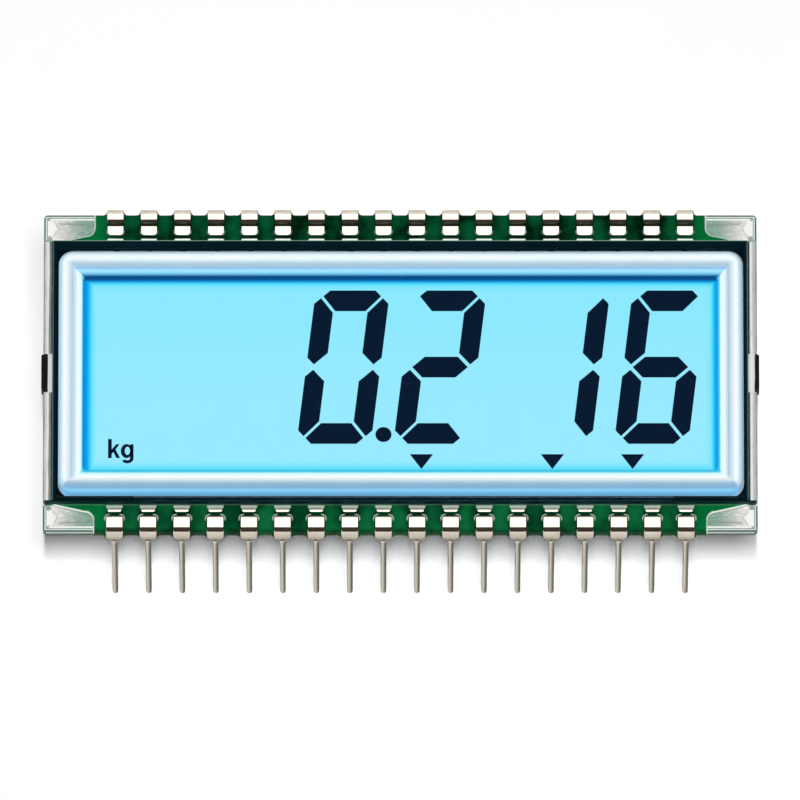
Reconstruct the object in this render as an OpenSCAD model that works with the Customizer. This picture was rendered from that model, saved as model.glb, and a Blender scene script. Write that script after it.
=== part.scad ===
/* [Glass cell] */
// Width of both glass plates, along the rows of pins
glass_w = 54; // [52:0.5:80]
// Height of the rear plate, from ledge edge to ledge edge
rear_glass_h = 26; // [24:0.5:40]
// Ledge that the rear plate shows above the front plate
upper_ledge = 2.4; // [2.2:0.1:4]
// Ledge that the rear plate shows below the front plate
lower_ledge = 2.1; // [2.1:0.1:4]
// Thickness of each glass plate
glass_t = 0.7; // [0.5:0.05:1.1]
// Rounding of the four upright corners of each plate
glass_corner_r = 0.3; // [0.1:0.05:0.6]
// Space between the plates
cell_gap = 0.1; // [0.08:0.01:0.2]

/* [Edge seal] */
// Bare glass between the plates' edges and the seal
seal_inset = 0.14; // [0.1:0.02:0.4]
// Width of the seal line
seal_w = 0.5; // [0.3:0.05:1]
// Rounding of the seal's inner corners
seal_corner_r = 0.8; // [0.4:0.1:1.5]
// Width of the fill ports left open in the seal at both short sides
port_w = 2.2; // [1:0.1:2.6]
// Length of the plugs that close the fill ports
plug_l = 2.8; // [2.7:0.1:5]
// How far the plugs stand out from the glass edge
plug_proud = 0.16; // [0.1:0.02:0.4]
// How far the plugs run into the fill ports
plug_depth = 0.3; // [0.2:0.05:0.45]
// How far the plugs stay inside the outer faces of the glass
plug_inset = 0.12; // [0.05:0.01:0.2]

/* [Polarizers] */
// Thickness of each polarizing film
film_t = 0.2; // [0.1:0.02:0.3]
// Bare glass at the short sides of the films
film_side = 0.67; // [0.3:0.05:1.5]
// Bare glass at the long sides of the films
film_edge = 0.14; // [0.1:0.02:0.5]

/* [Viewing area] */
// Width of the lit window
window_w = 48.1; // [44:0.1:49]
// Height of the lit window
window_h = 16; // [14:0.1:17]
// Height of the window's centre above the glass centre line
view_shift = 0.4; // [-0.5:0.1:0.5]
// Rounding of the window's corners
window_r = 0.4; // [0.2:0.1:1]

/* [Digits] */
// Height of a digit
digit_h = 12.6; // [9:0.1:13]
// Width of an upright digit
digit_w = 5.63; // [4.6:0.01:6]
// Lean of the digits
digit_slant = 6.6; // [0:0.1:10]
// Distance from one digit to the next
digit_pitch = 7.32; // [7.1:0.02:7.6]
// Extra space between the second and the third digit
group_gap = 2.04; // [0:0.02:3]
// Distance from the last digit's centre to the window's right edge
digit_margin = 4.36; // [4:0.02:6]
// Width of the upright bars
bar_w = 1.51; // [1:0.01:1.6]
// Height of the level bars
bar_h = 1.69; // [1.2:0.01:1.8]
// Space between neighbouring bars
bar_gap = 0.22; // [0.15:0.01:0.3]
// Corner cut of the digit outline
corner_cut = 1.1; // [0.8:0.05:1.3]
// Distance from a digit's side to the points of its upright bars
bar_point = 0.56; // [0.4:0.02:0.8]
// Diameter of the decimal point
point_d = 1.22; // [0.8:0.02:1.3]
// Distance from the first digit's centre to the decimal point
point_dx = 3.04; // [2.9:0.02:3.2]
// Height of the decimal point's centre above the digit's foot
point_rise = 0.76; // [0.6:0.02:1]
// Width of the pointer marks
pointer_w = 1.75; // [1:0.05:2]
// Height of the pointer marks
pointer_h = 1.21; // [0.6:0.01:1.3]
// Height of the marks' points above the window's lower edge, below it when negative
pointer_rise = -0.45; // [-0.6:0.05:0.5]
// Space between the pointer marks and the digits' feet
mark_gap = 0.86; // [0.1:0.02:1]
// Place of the first pointer mark, from the window's centre
pointer_1 = 1.6; // [0:0.05:4]
// Place of the second pointer mark, from the window's centre
pointer_2 = 11.5; // [9:0.05:13]
// Place of the third pointer mark, from the window's centre
pointer_3 = 17.56; // [16:0.05:20]
// Bare glass between the seal and the common electrode
electrode_edge = 1.4; // [0.5:0.1:2]
// Thickness of the electrode layers
electrode_t = 0.03; // [0.02:0.005:0.035]

/* [Pins] */
// Pins in each row
pin_count = 18; // [4:1:18]
// Distance from one pin to the next
pin_pitch = 2.54; // [2.3:0.01:2.7]
// Length of the leads below the rear plate
lead_drop = 10.4; // [6:0.1:14]
// Diameter of the round leads
lead_d = 0.46; // [0.4:0.02:0.5]
// Length of the taper at a lead's tip
lead_taper = 0.3; // [0.1:0.05:0.5]
// Diameter of a lead's flat end
lead_end_d = 0.28; // [0.1:0.02:0.36]
// Diameter of the neck where a lead leaves its clip
neck_d = 0.58; // [0.52:0.01:0.6]
// Length of the neck below the clip's rear bends
neck_run = 0.25; // [0.15:0.01:1]
// Width of a clip
clip_w = 1.3; // [1.1:0.05:1.5]
// Thickness of the clip's strip
clip_t = 0.24; // [0.16:0.02:0.34]
// Space between the glass edge and the clip's web
clip_gap = 0.08; // [0.04:0.01:0.12]
// Inner radius of the clip's bends round the glass edge
bend_r = 0.22; // [0.12:0.02:0.3]
// Height of the finger's arch above the ledge, on its underside
arch_rise = 0.5; // [0.32:0.02:0.56]
// Length of the level part of the arch
arch_flat = 0.38; // [0.2:0.02:0.44]
// Inner radius of the two bends that step the finger down to the ledge
step_r = 0.12; // [0.08:0.01:0.16]
// Fall of the step between those bends
step_angle = 70; // [45:5:70]
// Distance from the glass edge to the finger's tip
finger_reach = 1.83; // [1.6:0.01:1.95]
// Rounding of the finger's tip
finger_r = 0.3; // [0.1:0.05:0.5]
// Width of each of the two rear arms
arm_w = 0.32; // [0.2:0.02:0.34]
// Drop from the rear face of the glass to the start of the rear bends
arm_drop = 0.12; // [0.08:0.02:0.3]
// Rise of the rear arms towards the glass
arm_angle = 22; // [15:1:30]
// Height trimmed off the rear arms where they bear on the glass
arm_bite = 0.03; // [0.01:0.01:0.08]
// Rounding of the clip's lower corners
shoulder_r = 0.3; // [0.1:0.05:0.5]

/* [Resin] */
// Thickness of the resin on the ledges
resin_t = 0.3; // [0.26:0.02:0.34]
// Height of the resin where it meets the front plate's edge
resin_climb = 0.5; // [0.4:0.02:0.6]
// Rounding of the resin over the ledge's edge
resin_edge_r = 0.2; // [0.1:0.02:0.25]
// How far the resin runs past the outermost pins
resin_end = 1.35; // [1.1:0.05:3]
// Radius of the resin's rise against each clip
meniscus_r = 0.3; // [0.15:0.05:0.4]
// Bare glass between the thin tails of the resin and the corners
tail_margin = 0.66; // [0.3:0.02:2]
// Width of the tails where they leave the bead
tail_w = 0.6; // [0.4:0.05:1]
// Radius of the bead's concave ends
bead_end_r = 0.65; // [0.3:0.05:0.8]

/* [Backlight] */
// Depth of the backlight behind the cell
backlight_depth = 3.2; // [3:0.1:4]
// Width of the moulded border round the window
border_w = 1.88; // [1.6:0.02:2.4]
// Radius of the rounded ridge on the border
ridge_r = 0.5; // [0.3:0.01:0.6]
// Width of the flat along the top of the ridge
ridge_flat = 0.12; // [0.05:0.01:0.3]
// Rounding of the ridge's inner corners
ridge_corner_r = 0.03; // [0.02:0.01:0.5]
// Height of the upright foot of the ridge above the inner rim
ridge_foot = 0.05; // [0.02:0.01:0.3]
// Thickness of the inner rim
rim_t = 0.35; // [0.25:0.05:0.5]
// Fall across the inner rim, from the ridge to the window
rim_fall = 0.18; // [0.05:0.01:0.2]
// How far the rim overlaps the sheets under it
rim_lap = 0.5; // [0.4:0.05:0.6]
// Clearance of the sheets in the border
sheet_gap = 0.08; // [0.05:0.01:0.15]
// Thickness of the diffuser sheet
diffuser_t = 0.2; // [0.1:0.05:0.3]
// Thickness of the reflector sheet
reflector_t = 0.2; // [0.1:0.05:0.3]
// Distance from the reflector's edge to the border's outer face
reflector_inset = 0.25; // [0.2:0.05:0.4]
// Wall left outside the lamp pocket
lamp_wall = 0.45; // [0.4:0.02:0.5]
// Thickness of the lamp board
board_t = 0.4; // [0.3:0.05:0.5]
// Distance from the window's edge to the lamps
lamp_inset = 0.15; // [0.12:0.01:0.2]
// Lamps along the board
lamp_count = 3; // [2:1:4]
// Length of a lamp
lamp_l = 2.8; // [2:0.1:3]
// Depth of a lamp
lamp_d = 0.6; // [0.5:0.05:0.65]
// Height of a lamp
lamp_h = 1; // [0.7:0.05:1.2]
// Wall round the lit window of a lamp
lamp_rim = 0.2; // [0.1:0.02:0.3]
// Depth of the lit window of a lamp
lamp_cup = 0.15; // [0.05:0.01:0.3]
// Space between the lamps and the light guide
lamp_gap = 0.06; // [0.04:0.01:0.1]
// Distance between the two backlight terminals
terminal_pitch = 15.24; // [12.7:0.02:16]
// Diameter of the backlight terminals
terminal_d = 0.46; // [0.4:0.02:0.5]
// Height of the terminals' upset heads above the board
terminal_head = 0.15; // [0.1:0.05:0.3]
// Clearance of the terminals in their holes
terminal_gap = 0.05; // [0.03:0.01:0.08]

/* [Hidden] */
$fn = 48;
// Extra length of the cutting shapes
slip = 0.5;
// Degrees by which a bend runs into the straight parts beside it, so that they fuse
seam_turn = 0.01;
front_low_y = -rear_glass_h / 2 + lower_ledge;
front_high_y = rear_glass_h / 2 - upper_ledge;
front_glass_h = front_high_y - front_low_y;
front_y = (front_low_y + front_high_y) / 2;
rear_z = lead_drop;
ledge_z = rear_z + glass_t;
cell_z = ledge_z + cell_gap;
face_z = cell_z + glass_t;
crest_z = rear_z - film_t;
film_w = glass_w - 2 * film_side;
film_h = front_glass_h - 2 * film_edge;
seal_in_w = glass_w - 2 * (seal_inset + seal_w);
seal_in_h = front_glass_h - 2 * (seal_inset + seal_w);
border_outer_w = window_w + 2 * border_w;
border_outer_h = window_h + 2 * border_w;
ridge_w = 2 * ridge_r + ridge_flat;
border_r = ridge_w + ridge_corner_r;
rim_drop = ridge_r + ridge_foot;
rim_z = crest_z - rim_drop;
sheet_z = rim_z - rim_t;
sheet_w = window_w + 2 * rim_lap;
sheet_h = window_h + 2 * rim_lap;
frame_z = crest_z - backlight_depth;
pocket_left = -sheet_w / 2 - sheet_gap;
pocket_right = border_outer_w / 2 - lamp_wall;
pocket_h = sheet_h + 2 * sheet_gap;
lamp_x = window_w / 2 + lamp_inset;
lamp_pitch = terminal_pitch / (lamp_count + 1);
board_w = pocket_right - sheet_gap - lamp_x;
board_h = pocket_h - 2 * sheet_gap;
terminal_x = lamp_x + board_w / 2;
guide_left = -sheet_w / 2;
guide_right = lamp_x - lamp_gap;
guide_t = sheet_z - diffuser_t - frame_z;
pin_span = (pin_count - 1) * pin_pitch;
web_y = -clip_gap - clip_t;
bead_half = pin_span / 2 + resin_end;
tail_l = glass_w / 2 - tail_margin - bead_half;
arch_bend_z = arch_rise - bend_r;
arch_end_y = bend_r - clip_gap + arch_flat;
step_drop = arch_rise - (step_r + step_r + clip_t) * (1 - cos(step_angle));
step_run = step_drop / tan(step_angle);
tongue_y = arch_end_y + (step_r + step_r + clip_t) * sin(step_angle) + step_run;
arm_bend_z = -glass_t - arm_drop;
neck_l = bend_r + clip_t + neck_run;
arm_l = (arm_drop + bend_r * cos(arm_angle) + arm_bite) / sin(arm_angle);
digit_x = window_w / 2 - digit_margin;
mark_y = view_shift - window_h / 2 + pointer_rise;
digit_foot_y = mark_y + pointer_h + mark_gap;
digit_places = [
    digit_x - 3 * digit_pitch - group_gap,
    digit_x - 2 * digit_pitch - group_gap,
    digit_x - digit_pitch,
    digit_x
];
digit_bars = ["abcdef", "abged", "bc", "acdefg"];
pointer_places = [pointer_1, pointer_2, pointer_3];

// Name of one of a numbered set, such as upper_pin_07
function numbered(stem, i) = str(stem, i < 10 ? "0" : "", i);
function pin_x(i) = (i - (pin_count + 1) / 2) * pin_pitch;
function lamp_y(i) = view_shift + (i - (lamp_count + 1) / 2) * lamp_pitch;

// Rectangle with round corners, centred
module round_rect(w, h, r) {
    square([w - 2 * r, h], center = true);
    square([w, h - 2 * r], center = true);
    for (sx = [-1, 1], sy = [-1, 1])
        translate([sx * (w / 2 - r), sy * (h / 2 - r)]) circle(r);
}

// Part of a ring between two angles, less than a half turn apart
module ring_sector(inner_r, outer_r, from, to) {
    far = 2 * outer_r;
    mid = (from + to) / 2;
    intersection() {
        difference() {
            circle(outer_r);
            circle(inner_r);
        }
        polygon([
            [0, 0],
            far * [cos(from - seam_turn), sin(from - seam_turn)],
            far * [cos(mid), sin(mid)],
            far * [cos(to + seam_turn), sin(to + seam_turn)]
        ]);
    }
}

// Sweeps a profile of depth and height along the width, centred
module along_width(w) {
    translate([-w / 2, 0, 0]) rotate([90, 0, 90]) linear_extrude(w) children();
}

// Flat sheet with its underside at a height
module sheet_at(z, t) {
    translate([0, 0, z]) linear_extrude(t) children();
}

module rear_glass() {
    color([0.82, 0.9, 0.87, 0.5])
        sheet_at(rear_z, glass_t) round_rect(glass_w, rear_glass_h, glass_corner_r);
}

module front_glass() {
    color([0.82, 0.9, 0.87, 0.5])
        translate([0, front_y, 0])
            sheet_at(cell_z, glass_t) round_rect(glass_w, front_glass_h, glass_corner_r);
}

// Seal line round the cell, open at the two fill ports
module perimeter_seal() {
    color([0.75, 0.75, 0.72])
        translate([0, front_y, 0])
            sheet_at(ledge_z, cell_gap) difference() {
                square([glass_w - 2 * seal_inset, front_glass_h - 2 * seal_inset], center = true);
                round_rect(seal_in_w, seal_in_h, seal_corner_r);
                square([glass_w, port_w], center = true);
            }
}

// Plug of cured black resin over one fill port, with a tongue into the port
module end_plug(side) {
    outer_h = 2 * glass_t + cell_gap - 2 * plug_inset;
    color([0.05, 0.05, 0.05])
        translate([side * glass_w / 2, front_y, 0]) {
            sheet_at(rear_z + plug_inset, outer_h)
                intersection() {
                    union() {
                        square([2 * plug_proud, plug_l - 2 * plug_proud], center = true);
                        for (end = [-1, 1])
                            translate([0, end * (plug_l / 2 - plug_proud)]) circle(plug_proud);
                    }
                    translate([side * plug_l, 0]) square(2 * plug_l, center = true);
                }
            sheet_at(ledge_z, cell_gap)
                translate([-side * plug_depth / 2, 0]) square([plug_depth, port_w], center = true);
        }
}

// Outline of the liquid crystal, with its necks in the fill ports
module fluid_outline() {
    round_rect(seal_in_w, seal_in_h, seal_corner_r);
    square([glass_w - 2 * plug_depth, port_w], center = true);
}

module liquid_crystal() {
    color([0.8, 0.9, 0.95, 0.3])
        difference() {
            translate([0, front_y, 0]) sheet_at(ledge_z, cell_gap) fluid_outline();
            common_electrode();
            digit_segments();
            symbol_segments();
        }
}

// Clear conductor on the rear plate, behind every segment
module common_electrode() {
    color([0.85, 0.9, 0.85, 0.3])
        translate([0, front_y, 0])
            sheet_at(ledge_z, electrode_t)
                square([seal_in_w - 2 * electrode_edge, seal_in_h - 2 * electrode_edge], center = true);
}

// One bar of a digit, as the points of an upright digit about its centre
function bar_points(bar) =
    let (
        w = digit_w / 2,
        h = digit_h / 2,
        half_gap = bar_gap / 2 / sqrt(2),
        cut = corner_cut / 2,
        side = w - bar_w,
        tip = w - bar_point,
        level = [
            [w - corner_cut, h],
            [w - cut - half_gap, h - cut + half_gap],
            [side - 2 * half_gap, h - bar_h]
        ],
        upright = [
            [w - cut + half_gap, h - cut - half_gap],
            [w, h - corner_cut],
            [w, bar_gap + bar_point],
            [tip, bar_gap],
            [side, bar_gap + tip - side],
            [side, h - bar_h - 2 * half_gap]
        ],
        top = concat(level, [for (i = [2:-1:0]) [-level[i].x, level[i].y]]),
        end = tip - 2 * half_gap,
        middle = [
            [end, 0], [end - bar_h / 2, bar_h / 2], [bar_h / 2 - end, bar_h / 2],
            [-end, 0], [bar_h / 2 - end, -bar_h / 2], [end - bar_h / 2, -bar_h / 2]
        ]
    )
    bar == "a" ? top
    : bar == "b" ? upright
    : bar == "c" ? [for (p = upright) [p.x, -p.y]]
    : bar == "d" ? [for (p = top) [p.x, -p.y]]
    : bar == "e" ? [for (p = upright) [-p.x, -p.y]]
    : bar == "f" ? [for (p = upright) [-p.x, p.y]]
    : middle;

// Points leaned over about the digit's mid height
function leaned(points) = [for (p = points) [p.x + p.y * tan(digit_slant), p.y]];

module digit_segments() {
    color([0.03, 0.09, 0.17])
        for (i = [0:len(digit_places) - 1], bar = digit_bars[i])
            translate([digit_places[i], digit_foot_y + digit_h / 2, 0])
                sheet_at(cell_z - electrode_t, electrode_t) polygon(leaned(bar_points(bar)));
}

// Decimal point and the pointer marks under the digits
module symbol_segments() {
    color([0.03, 0.09, 0.17]) {
        translate([digit_places[0] + point_dx, digit_foot_y + point_rise, 0])
            sheet_at(cell_z - electrode_t, electrode_t) circle(d = point_d);
        for (x = pointer_places)
            translate([x, mark_y, 0])
                sheet_at(cell_z - electrode_t, electrode_t)
                    polygon([[0, 0], [pointer_w / 2, pointer_h], [-pointer_w / 2, pointer_h]]);
    }
}

module front_polarizer() {
    color([0.05, 0.1, 0.14, 0.5])
        translate([0, front_y, 0]) sheet_at(face_z, film_t) square([film_w, film_h], center = true);
}

module rear_polarizer() {
    color([0.03, 0.07, 0.1])
        translate([0, front_y, 0]) sheet_at(crest_z, film_t) square([film_w, film_h], center = true);
}

// Side view of the clip from its web over the glass edge to the ledge,
// with depth counted inwards from the glass edge and height from the ledge
module clip_profile() {
    outer_r = bend_r + clip_t;
    step_outer = step_r + clip_t;
    translate([web_y, arm_bend_z]) square([clip_t, arch_bend_z - arm_bend_z]);
    translate([bend_r - clip_gap, arch_bend_z]) ring_sector(bend_r, outer_r, 90, 180);
    translate([bend_r - clip_gap, arch_rise]) square([arch_flat, clip_t]);
    translate([arch_end_y, arch_rise - step_r])
        ring_sector(step_r, step_outer, 90 - step_angle, 90);
    translate([arch_end_y, arch_rise - step_r] + step_r * [sin(step_angle), cos(step_angle)])
        rotate(-step_angle) square([step_drop / sin(step_angle), clip_t]);
    translate([tongue_y, step_outer])
        ring_sector(step_r, step_outer, 270 - step_angle, 270);
}

// Top view of the finger's flat tongue, with round tip corners
module tongue_outline() {
    length = finger_reach - tongue_y;
    translate([-clip_w / 2, tongue_y]) square([clip_w, length - finger_r]);
    translate([finger_r - clip_w / 2, tongue_y]) square([clip_w - 2 * finger_r, length]);
    for (side = [-1, 1])
        translate([side * (clip_w / 2 - finger_r), finger_reach - finger_r]) circle(finger_r);
}

// Side view of a rear arm, bent under the glass and trimmed flat where it bears
module arm_profile() {
    outer_r = bend_r + clip_t;
    difference() {
        translate([bend_r - clip_gap, arm_bend_z]) {
            ring_sector(bend_r, outer_r, 180, 270);
            ring_sector(bend_r, outer_r, 270, 270 + arm_angle);
            rotate(arm_angle) translate([0, -outer_r]) square([arm_l, clip_t]);
        }
        translate([0, -glass_t]) square(2 * arm_l);
    }
}

// Front view of the two rear arms, with round lower corners and room for the lead
module arms_outline() {
    foot = arm_bend_z - bend_r - clip_t;
    height = -glass_t + arm_drop - foot;
    difference() {
        translate([0, foot + height / 2])
            union() {
                translate([0, shoulder_r / 2]) square([clip_w, height - shoulder_r], center = true);
                square([clip_w - 2 * shoulder_r, height], center = true);
                for (side = [-1, 1])
                    translate([side * (clip_w / 2 - shoulder_r), shoulder_r - height / 2])
                        circle(shoulder_r);
            }
        translate([0, foot]) square([clip_w - 2 * arm_w, 4 * height], center = true);
    }
}

// Stamped clip pin, with depth counted inwards from the glass edge
module clip_pin() {
    lead_y = web_y + clip_t / 2;
    neck_z = ledge_z + arm_bend_z - neck_l;
    color([0.78, 0.74, 0.66]) {
        along_width(clip_w) clip_profile();
        linear_extrude(clip_t) tongue_outline();
        intersection() {
            along_width(clip_w) arm_profile();
            translate([0, slip + finger_reach, 0])
                rotate([90, 0, 0]) linear_extrude(2 * slip + 2 * finger_reach) arms_outline();
        }
        translate([0, lead_y, -ledge_z]) {
            cylinder(h = lead_taper, d1 = lead_end_d, d2 = lead_d);
            translate([0, 0, lead_taper]) cylinder(h = neck_z - lead_taper, d = lead_d);
            translate([0, 0, neck_z]) cylinder(h = neck_l, d1 = lead_d, d2 = neck_d);
        }
    }
}

module lower_pin(i) {
    translate([pin_x(i), -rear_glass_h / 2, ledge_z]) clip_pin();
}

module upper_pin(i) {
    translate([pin_x(i), rear_glass_h / 2, ledge_z]) rotate([0, 0, 180]) clip_pin();
}

// Side view of the resin from the front plate's edge over the ledge's edge
module bead_profile(ledge) {
    climb = resin_climb - resin_t;
    difference() {
        union() {
            translate([resin_edge_r - clip_gap, 0]) square([ledge + clip_gap - resin_edge_r, resin_t]);
            translate([-clip_gap, -glass_t]) square([clip_gap, glass_t + resin_t - resin_edge_r]);
            translate([resin_edge_r - clip_gap, resin_t - resin_edge_r]) circle(resin_edge_r);
            translate([ledge - climb, resin_t]) square(climb);
        }
        translate([ledge - climb, resin_climb]) circle(climb);
        translate([0, -glass_t]) square([ledge, glass_t]);
    }
}

// Top view of the resin, with its concave ends and thin tails
module bead_outline(ledge) {
    corner = ledge - tail_w;
    translate([-bead_half, -slip]) square([2 * bead_half, ledge + slip]);
    for (side = [-1, 1]) {
        polygon([
            [side * bead_half, corner], [side * (bead_half + tail_l), ledge], [side * bead_half, ledge]
        ]);
        translate([side * (bead_half + bead_end_r / 2), corner])
            difference() {
                translate([0, -bead_end_r / 2]) square([bead_end_r, bead_end_r], center = true);
                translate([side * bead_end_r / 2, -bead_end_r]) circle(bead_end_r);
            }
    }
}

// Resin drawn up against both sides of a clip's web
module meniscus() {
    half = clip_w / 2 + meniscus_r;
    translate([0, 0, -glass_t])
        linear_extrude(glass_t + resin_t - resin_edge_r)
            difference() {
                translate([-half, -clip_gap - meniscus_r]) square([2 * half, meniscus_r]);
                for (side = [-1, 1])
                    translate([side * half, -clip_gap - meniscus_r]) circle(meniscus_r);
            }
}

// Resin bead along one ledge, cast round the clips
module resin_bead(ledge) {
    color([0.02, 0.36, 0.2])
        difference() {
            union() {
                intersection() {
                    along_width(2 * (bead_half + tail_l)) bead_profile(ledge);
                    translate([0, 0, -glass_t]) linear_extrude(2 * glass_t) bead_outline(ledge);
                }
                for (i = [1:pin_count]) translate([pin_x(i), 0, 0]) meniscus();
            }
            for (i = [1:pin_count])
                translate([pin_x(i), 0, 0]) {
                    clip_pin();
                    linear_extrude(glass_t) tongue_outline();
                }
        }
}

module lower_resin_bead() {
    translate([0, -rear_glass_h / 2, ledge_z]) resin_bead(lower_ledge);
}

module upper_resin_bead() {
    translate([0, rear_glass_h / 2, ledge_z]) rotate([0, 0, 180]) resin_bead(upper_ledge);
}

// Section of the border's ridge, with distance counted in from the outer face
module ridge_profile() {
    translate([ridge_r, -ridge_r]) circle(ridge_r);
    translate([ridge_r + ridge_flat, -ridge_r]) circle(ridge_r);
    translate([ridge_r, -ridge_r]) square([ridge_flat, ridge_r]);
    translate([0, -rim_drop]) square([ridge_w, rim_drop - ridge_r]);
}

// One straight side of the ridge, lying along a line of the given length
module ridge_side(length) {
    rotate([90, 0, 90]) linear_extrude(length, center = true)
        intersection() {
            ridge_profile();
            translate([0, -rim_drop]) square([ridge_w, rim_drop]);
        }
}

// Quarter turn of the ridge at a corner
module ridge_corner() {
    rotate_extrude(angle = 90)
        intersection() {
            translate([border_r, 0]) mirror([1, 0]) ridge_profile();
            translate([border_r - ridge_w, -rim_drop]) square([ridge_w, rim_drop]);
        }
}

// Space above the sloped rim, which falls from the ridge to the window on all four sides
module rim_funnel() {
    rim_w = border_w - ridge_w;
    translate([0, 0, rim_z])
        intersection() {
            along_width(border_outer_w) funnel_profile(window_h / 2, rim_w);
            rotate([0, 0, 90]) along_width(border_outer_w) funnel_profile(window_w / 2, rim_w);
        }
}

// Section of that space across the window
module funnel_profile(half, rim_w) {
    polygon([
        [-half - rim_w, 0], [-half, -rim_fall], [half, -rim_fall], [half + rim_w, 0],
        [half + rim_w, slip], [-half - rim_w, slip]
    ]);
}

// Moulded border with a rounded ridge, a sloped inner rim and a pocket for the sheets
module backlight_frame() {
    side_w = border_outer_w - 2 * border_r;
    side_h = border_outer_h - 2 * border_r;
    color([0.95, 0.97, 1])
        translate([0, view_shift, 0]) {
            difference() {
                sheet_at(frame_z, rim_z - frame_z) round_rect(border_outer_w, border_outer_h, border_r);
                sheet_at(frame_z - slip, backlight_depth) round_rect(window_w, window_h, window_r);
                rim_funnel();
                translate([pocket_left, -pocket_h / 2, frame_z - slip])
                    cube([pocket_right - pocket_left, pocket_h, sheet_z - frame_z + slip]);
            }
            translate([0, 0, crest_z]) {
                for (turn = [0, 180])
                    rotate(turn) {
                        translate([0, -border_outer_h / 2, 0]) ridge_side(side_w);
                        translate([-border_outer_w / 2, 0, 0]) rotate(-90) ridge_side(side_h);
                        translate([side_w / 2, side_h / 2, 0]) ridge_corner();
                        translate([-side_w / 2, side_h / 2, 0]) rotate(90) ridge_corner();
                    }
            }
        }
}

module diffuser_sheet() {
    color([0.54, 0.9, 0.99])
        translate([0, view_shift, 0])
            sheet_at(sheet_z - diffuser_t, diffuser_t) square([sheet_w, sheet_h], center = true);
}

module light_guide() {
    color([0.7, 0.92, 0.98, 0.6])
        translate([guide_left, view_shift - sheet_h / 2, frame_z])
            cube([guide_right - guide_left, sheet_h, guide_t]);
}

// Both terminals' places on the board
module at_terminals() {
    for (side = [-1, 1])
        translate([terminal_x, view_shift + side * terminal_pitch / 2, 0]) children();
}

// Reflector that closes the back of the border, with holes for the terminals
module reflector_sheet() {
    inset = 2 * reflector_inset;
    color([0.93, 0.93, 0.95])
        sheet_at(frame_z - reflector_t, reflector_t)
            difference() {
                translate([0, view_shift])
                    square([border_outer_w - inset, border_outer_h - inset], center = true);
                at_terminals() circle(d = terminal_d + 2 * terminal_gap);
            }
}

module lamp_board() {
    color([0.1, 0.4, 0.25])
        sheet_at(frame_z, board_t)
            difference() {
                translate([lamp_x, view_shift - board_h / 2]) square([board_w, board_h]);
                at_terminals() circle(d = terminal_d + 2 * terminal_gap);
            }
}

// Side-firing lamp with a shallow lit window towards the light guide
module lamp(i) {
    color([0.97, 0.95, 0.8])
        translate([lamp_x, lamp_y(i) - lamp_l / 2, frame_z + board_t])
            difference() {
                cube([lamp_d, lamp_l, lamp_h]);
                translate([-slip, lamp_rim, lamp_rim])
                    cube([lamp_cup + slip, lamp_l - 2 * lamp_rim, lamp_h - 2 * lamp_rim]);
            }
}

// Backlight terminal with an upset head that seats on the board
module terminal(side) {
    head_z = frame_z + board_t;
    color([0.78, 0.74, 0.66])
        translate([terminal_x, view_shift + side * terminal_pitch / 2, 0]) {
            cylinder(h = lead_taper, d1 = lead_end_d, d2 = terminal_d);
            translate([0, 0, lead_taper]) cylinder(h = head_z - lead_taper, d = terminal_d);
            translate([0, 0, head_z]) cylinder(h = terminal_head, d = terminal_d + 4 * terminal_gap);
        }
}

rear_glass();
front_glass();
perimeter_seal();
end_plug(-1);  // left_end_plug
end_plug(1);  // right_end_plug
liquid_crystal();
common_electrode();
digit_segments();
symbol_segments();
front_polarizer();
rear_polarizer();
upper_resin_bead();
lower_resin_bead();
backlight_frame();
diffuser_sheet();
light_guide();
reflector_sheet();
lamp_board();
terminal(1);  // upper_terminal
terminal(-1);  // lower_terminal
for (i = [1:lamp_count])
    lamp(i);
for (i = [1:pin_count])
    upper_pin(i);
for (i = [1:pin_count])
    lower_pin(i);
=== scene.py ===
# %% [markdown]
# A backlit segment display of the kind used in scales, standing on its leads with its face up.
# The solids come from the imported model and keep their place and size. This lesson gives each of them
# its finish, and remakes what a plain solid can't show well: the stamped clips and the resin that is cast
# round them. The etched bars become a hair thicker, and a little unit sign joins them in the cell.

# %% Load the frame
import math
from collections import namedtuple

import bpy
import numpy as np
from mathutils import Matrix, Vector


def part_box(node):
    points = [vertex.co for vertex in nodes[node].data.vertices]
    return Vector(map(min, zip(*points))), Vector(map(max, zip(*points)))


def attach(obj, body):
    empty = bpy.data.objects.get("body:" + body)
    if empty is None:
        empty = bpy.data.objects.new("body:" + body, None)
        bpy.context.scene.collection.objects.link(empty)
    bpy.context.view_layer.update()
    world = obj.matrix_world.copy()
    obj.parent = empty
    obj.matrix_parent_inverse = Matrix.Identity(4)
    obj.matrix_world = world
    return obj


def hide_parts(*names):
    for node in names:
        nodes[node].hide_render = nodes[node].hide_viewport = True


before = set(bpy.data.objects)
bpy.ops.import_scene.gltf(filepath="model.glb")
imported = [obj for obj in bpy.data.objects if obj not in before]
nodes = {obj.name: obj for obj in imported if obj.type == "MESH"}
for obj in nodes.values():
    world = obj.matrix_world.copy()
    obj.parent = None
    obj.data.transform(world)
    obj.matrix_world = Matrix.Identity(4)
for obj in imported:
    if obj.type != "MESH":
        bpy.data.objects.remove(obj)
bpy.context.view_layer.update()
MM = 0.001
Corner = namedtuple("Corner", "x y z")


def box_mm(node):
    """The lower and the upper corner of a solid's box, in millimetres."""
    return [Corner(*[v / MM for v in corner]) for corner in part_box(node)]


rear_low, rear_high = box_mm("rear_glass")
front_low, front_high = box_mm("front_glass")
film_low, film_high = box_mm("front_polarizer")
glass_half, ledge_z = rear_high.x, rear_high.z
glass_t = round(rear_high.z - rear_low.z, 3)

# %% [markdown]
# The photograph was taken with a long lens from the front, 23 degrees off the face's normal. A camera far
# away with a matching lens gives the same nearly parallel lines. The scale and the place of the glass in
# the picture are three measured values, and the aim follows from them.

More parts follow.
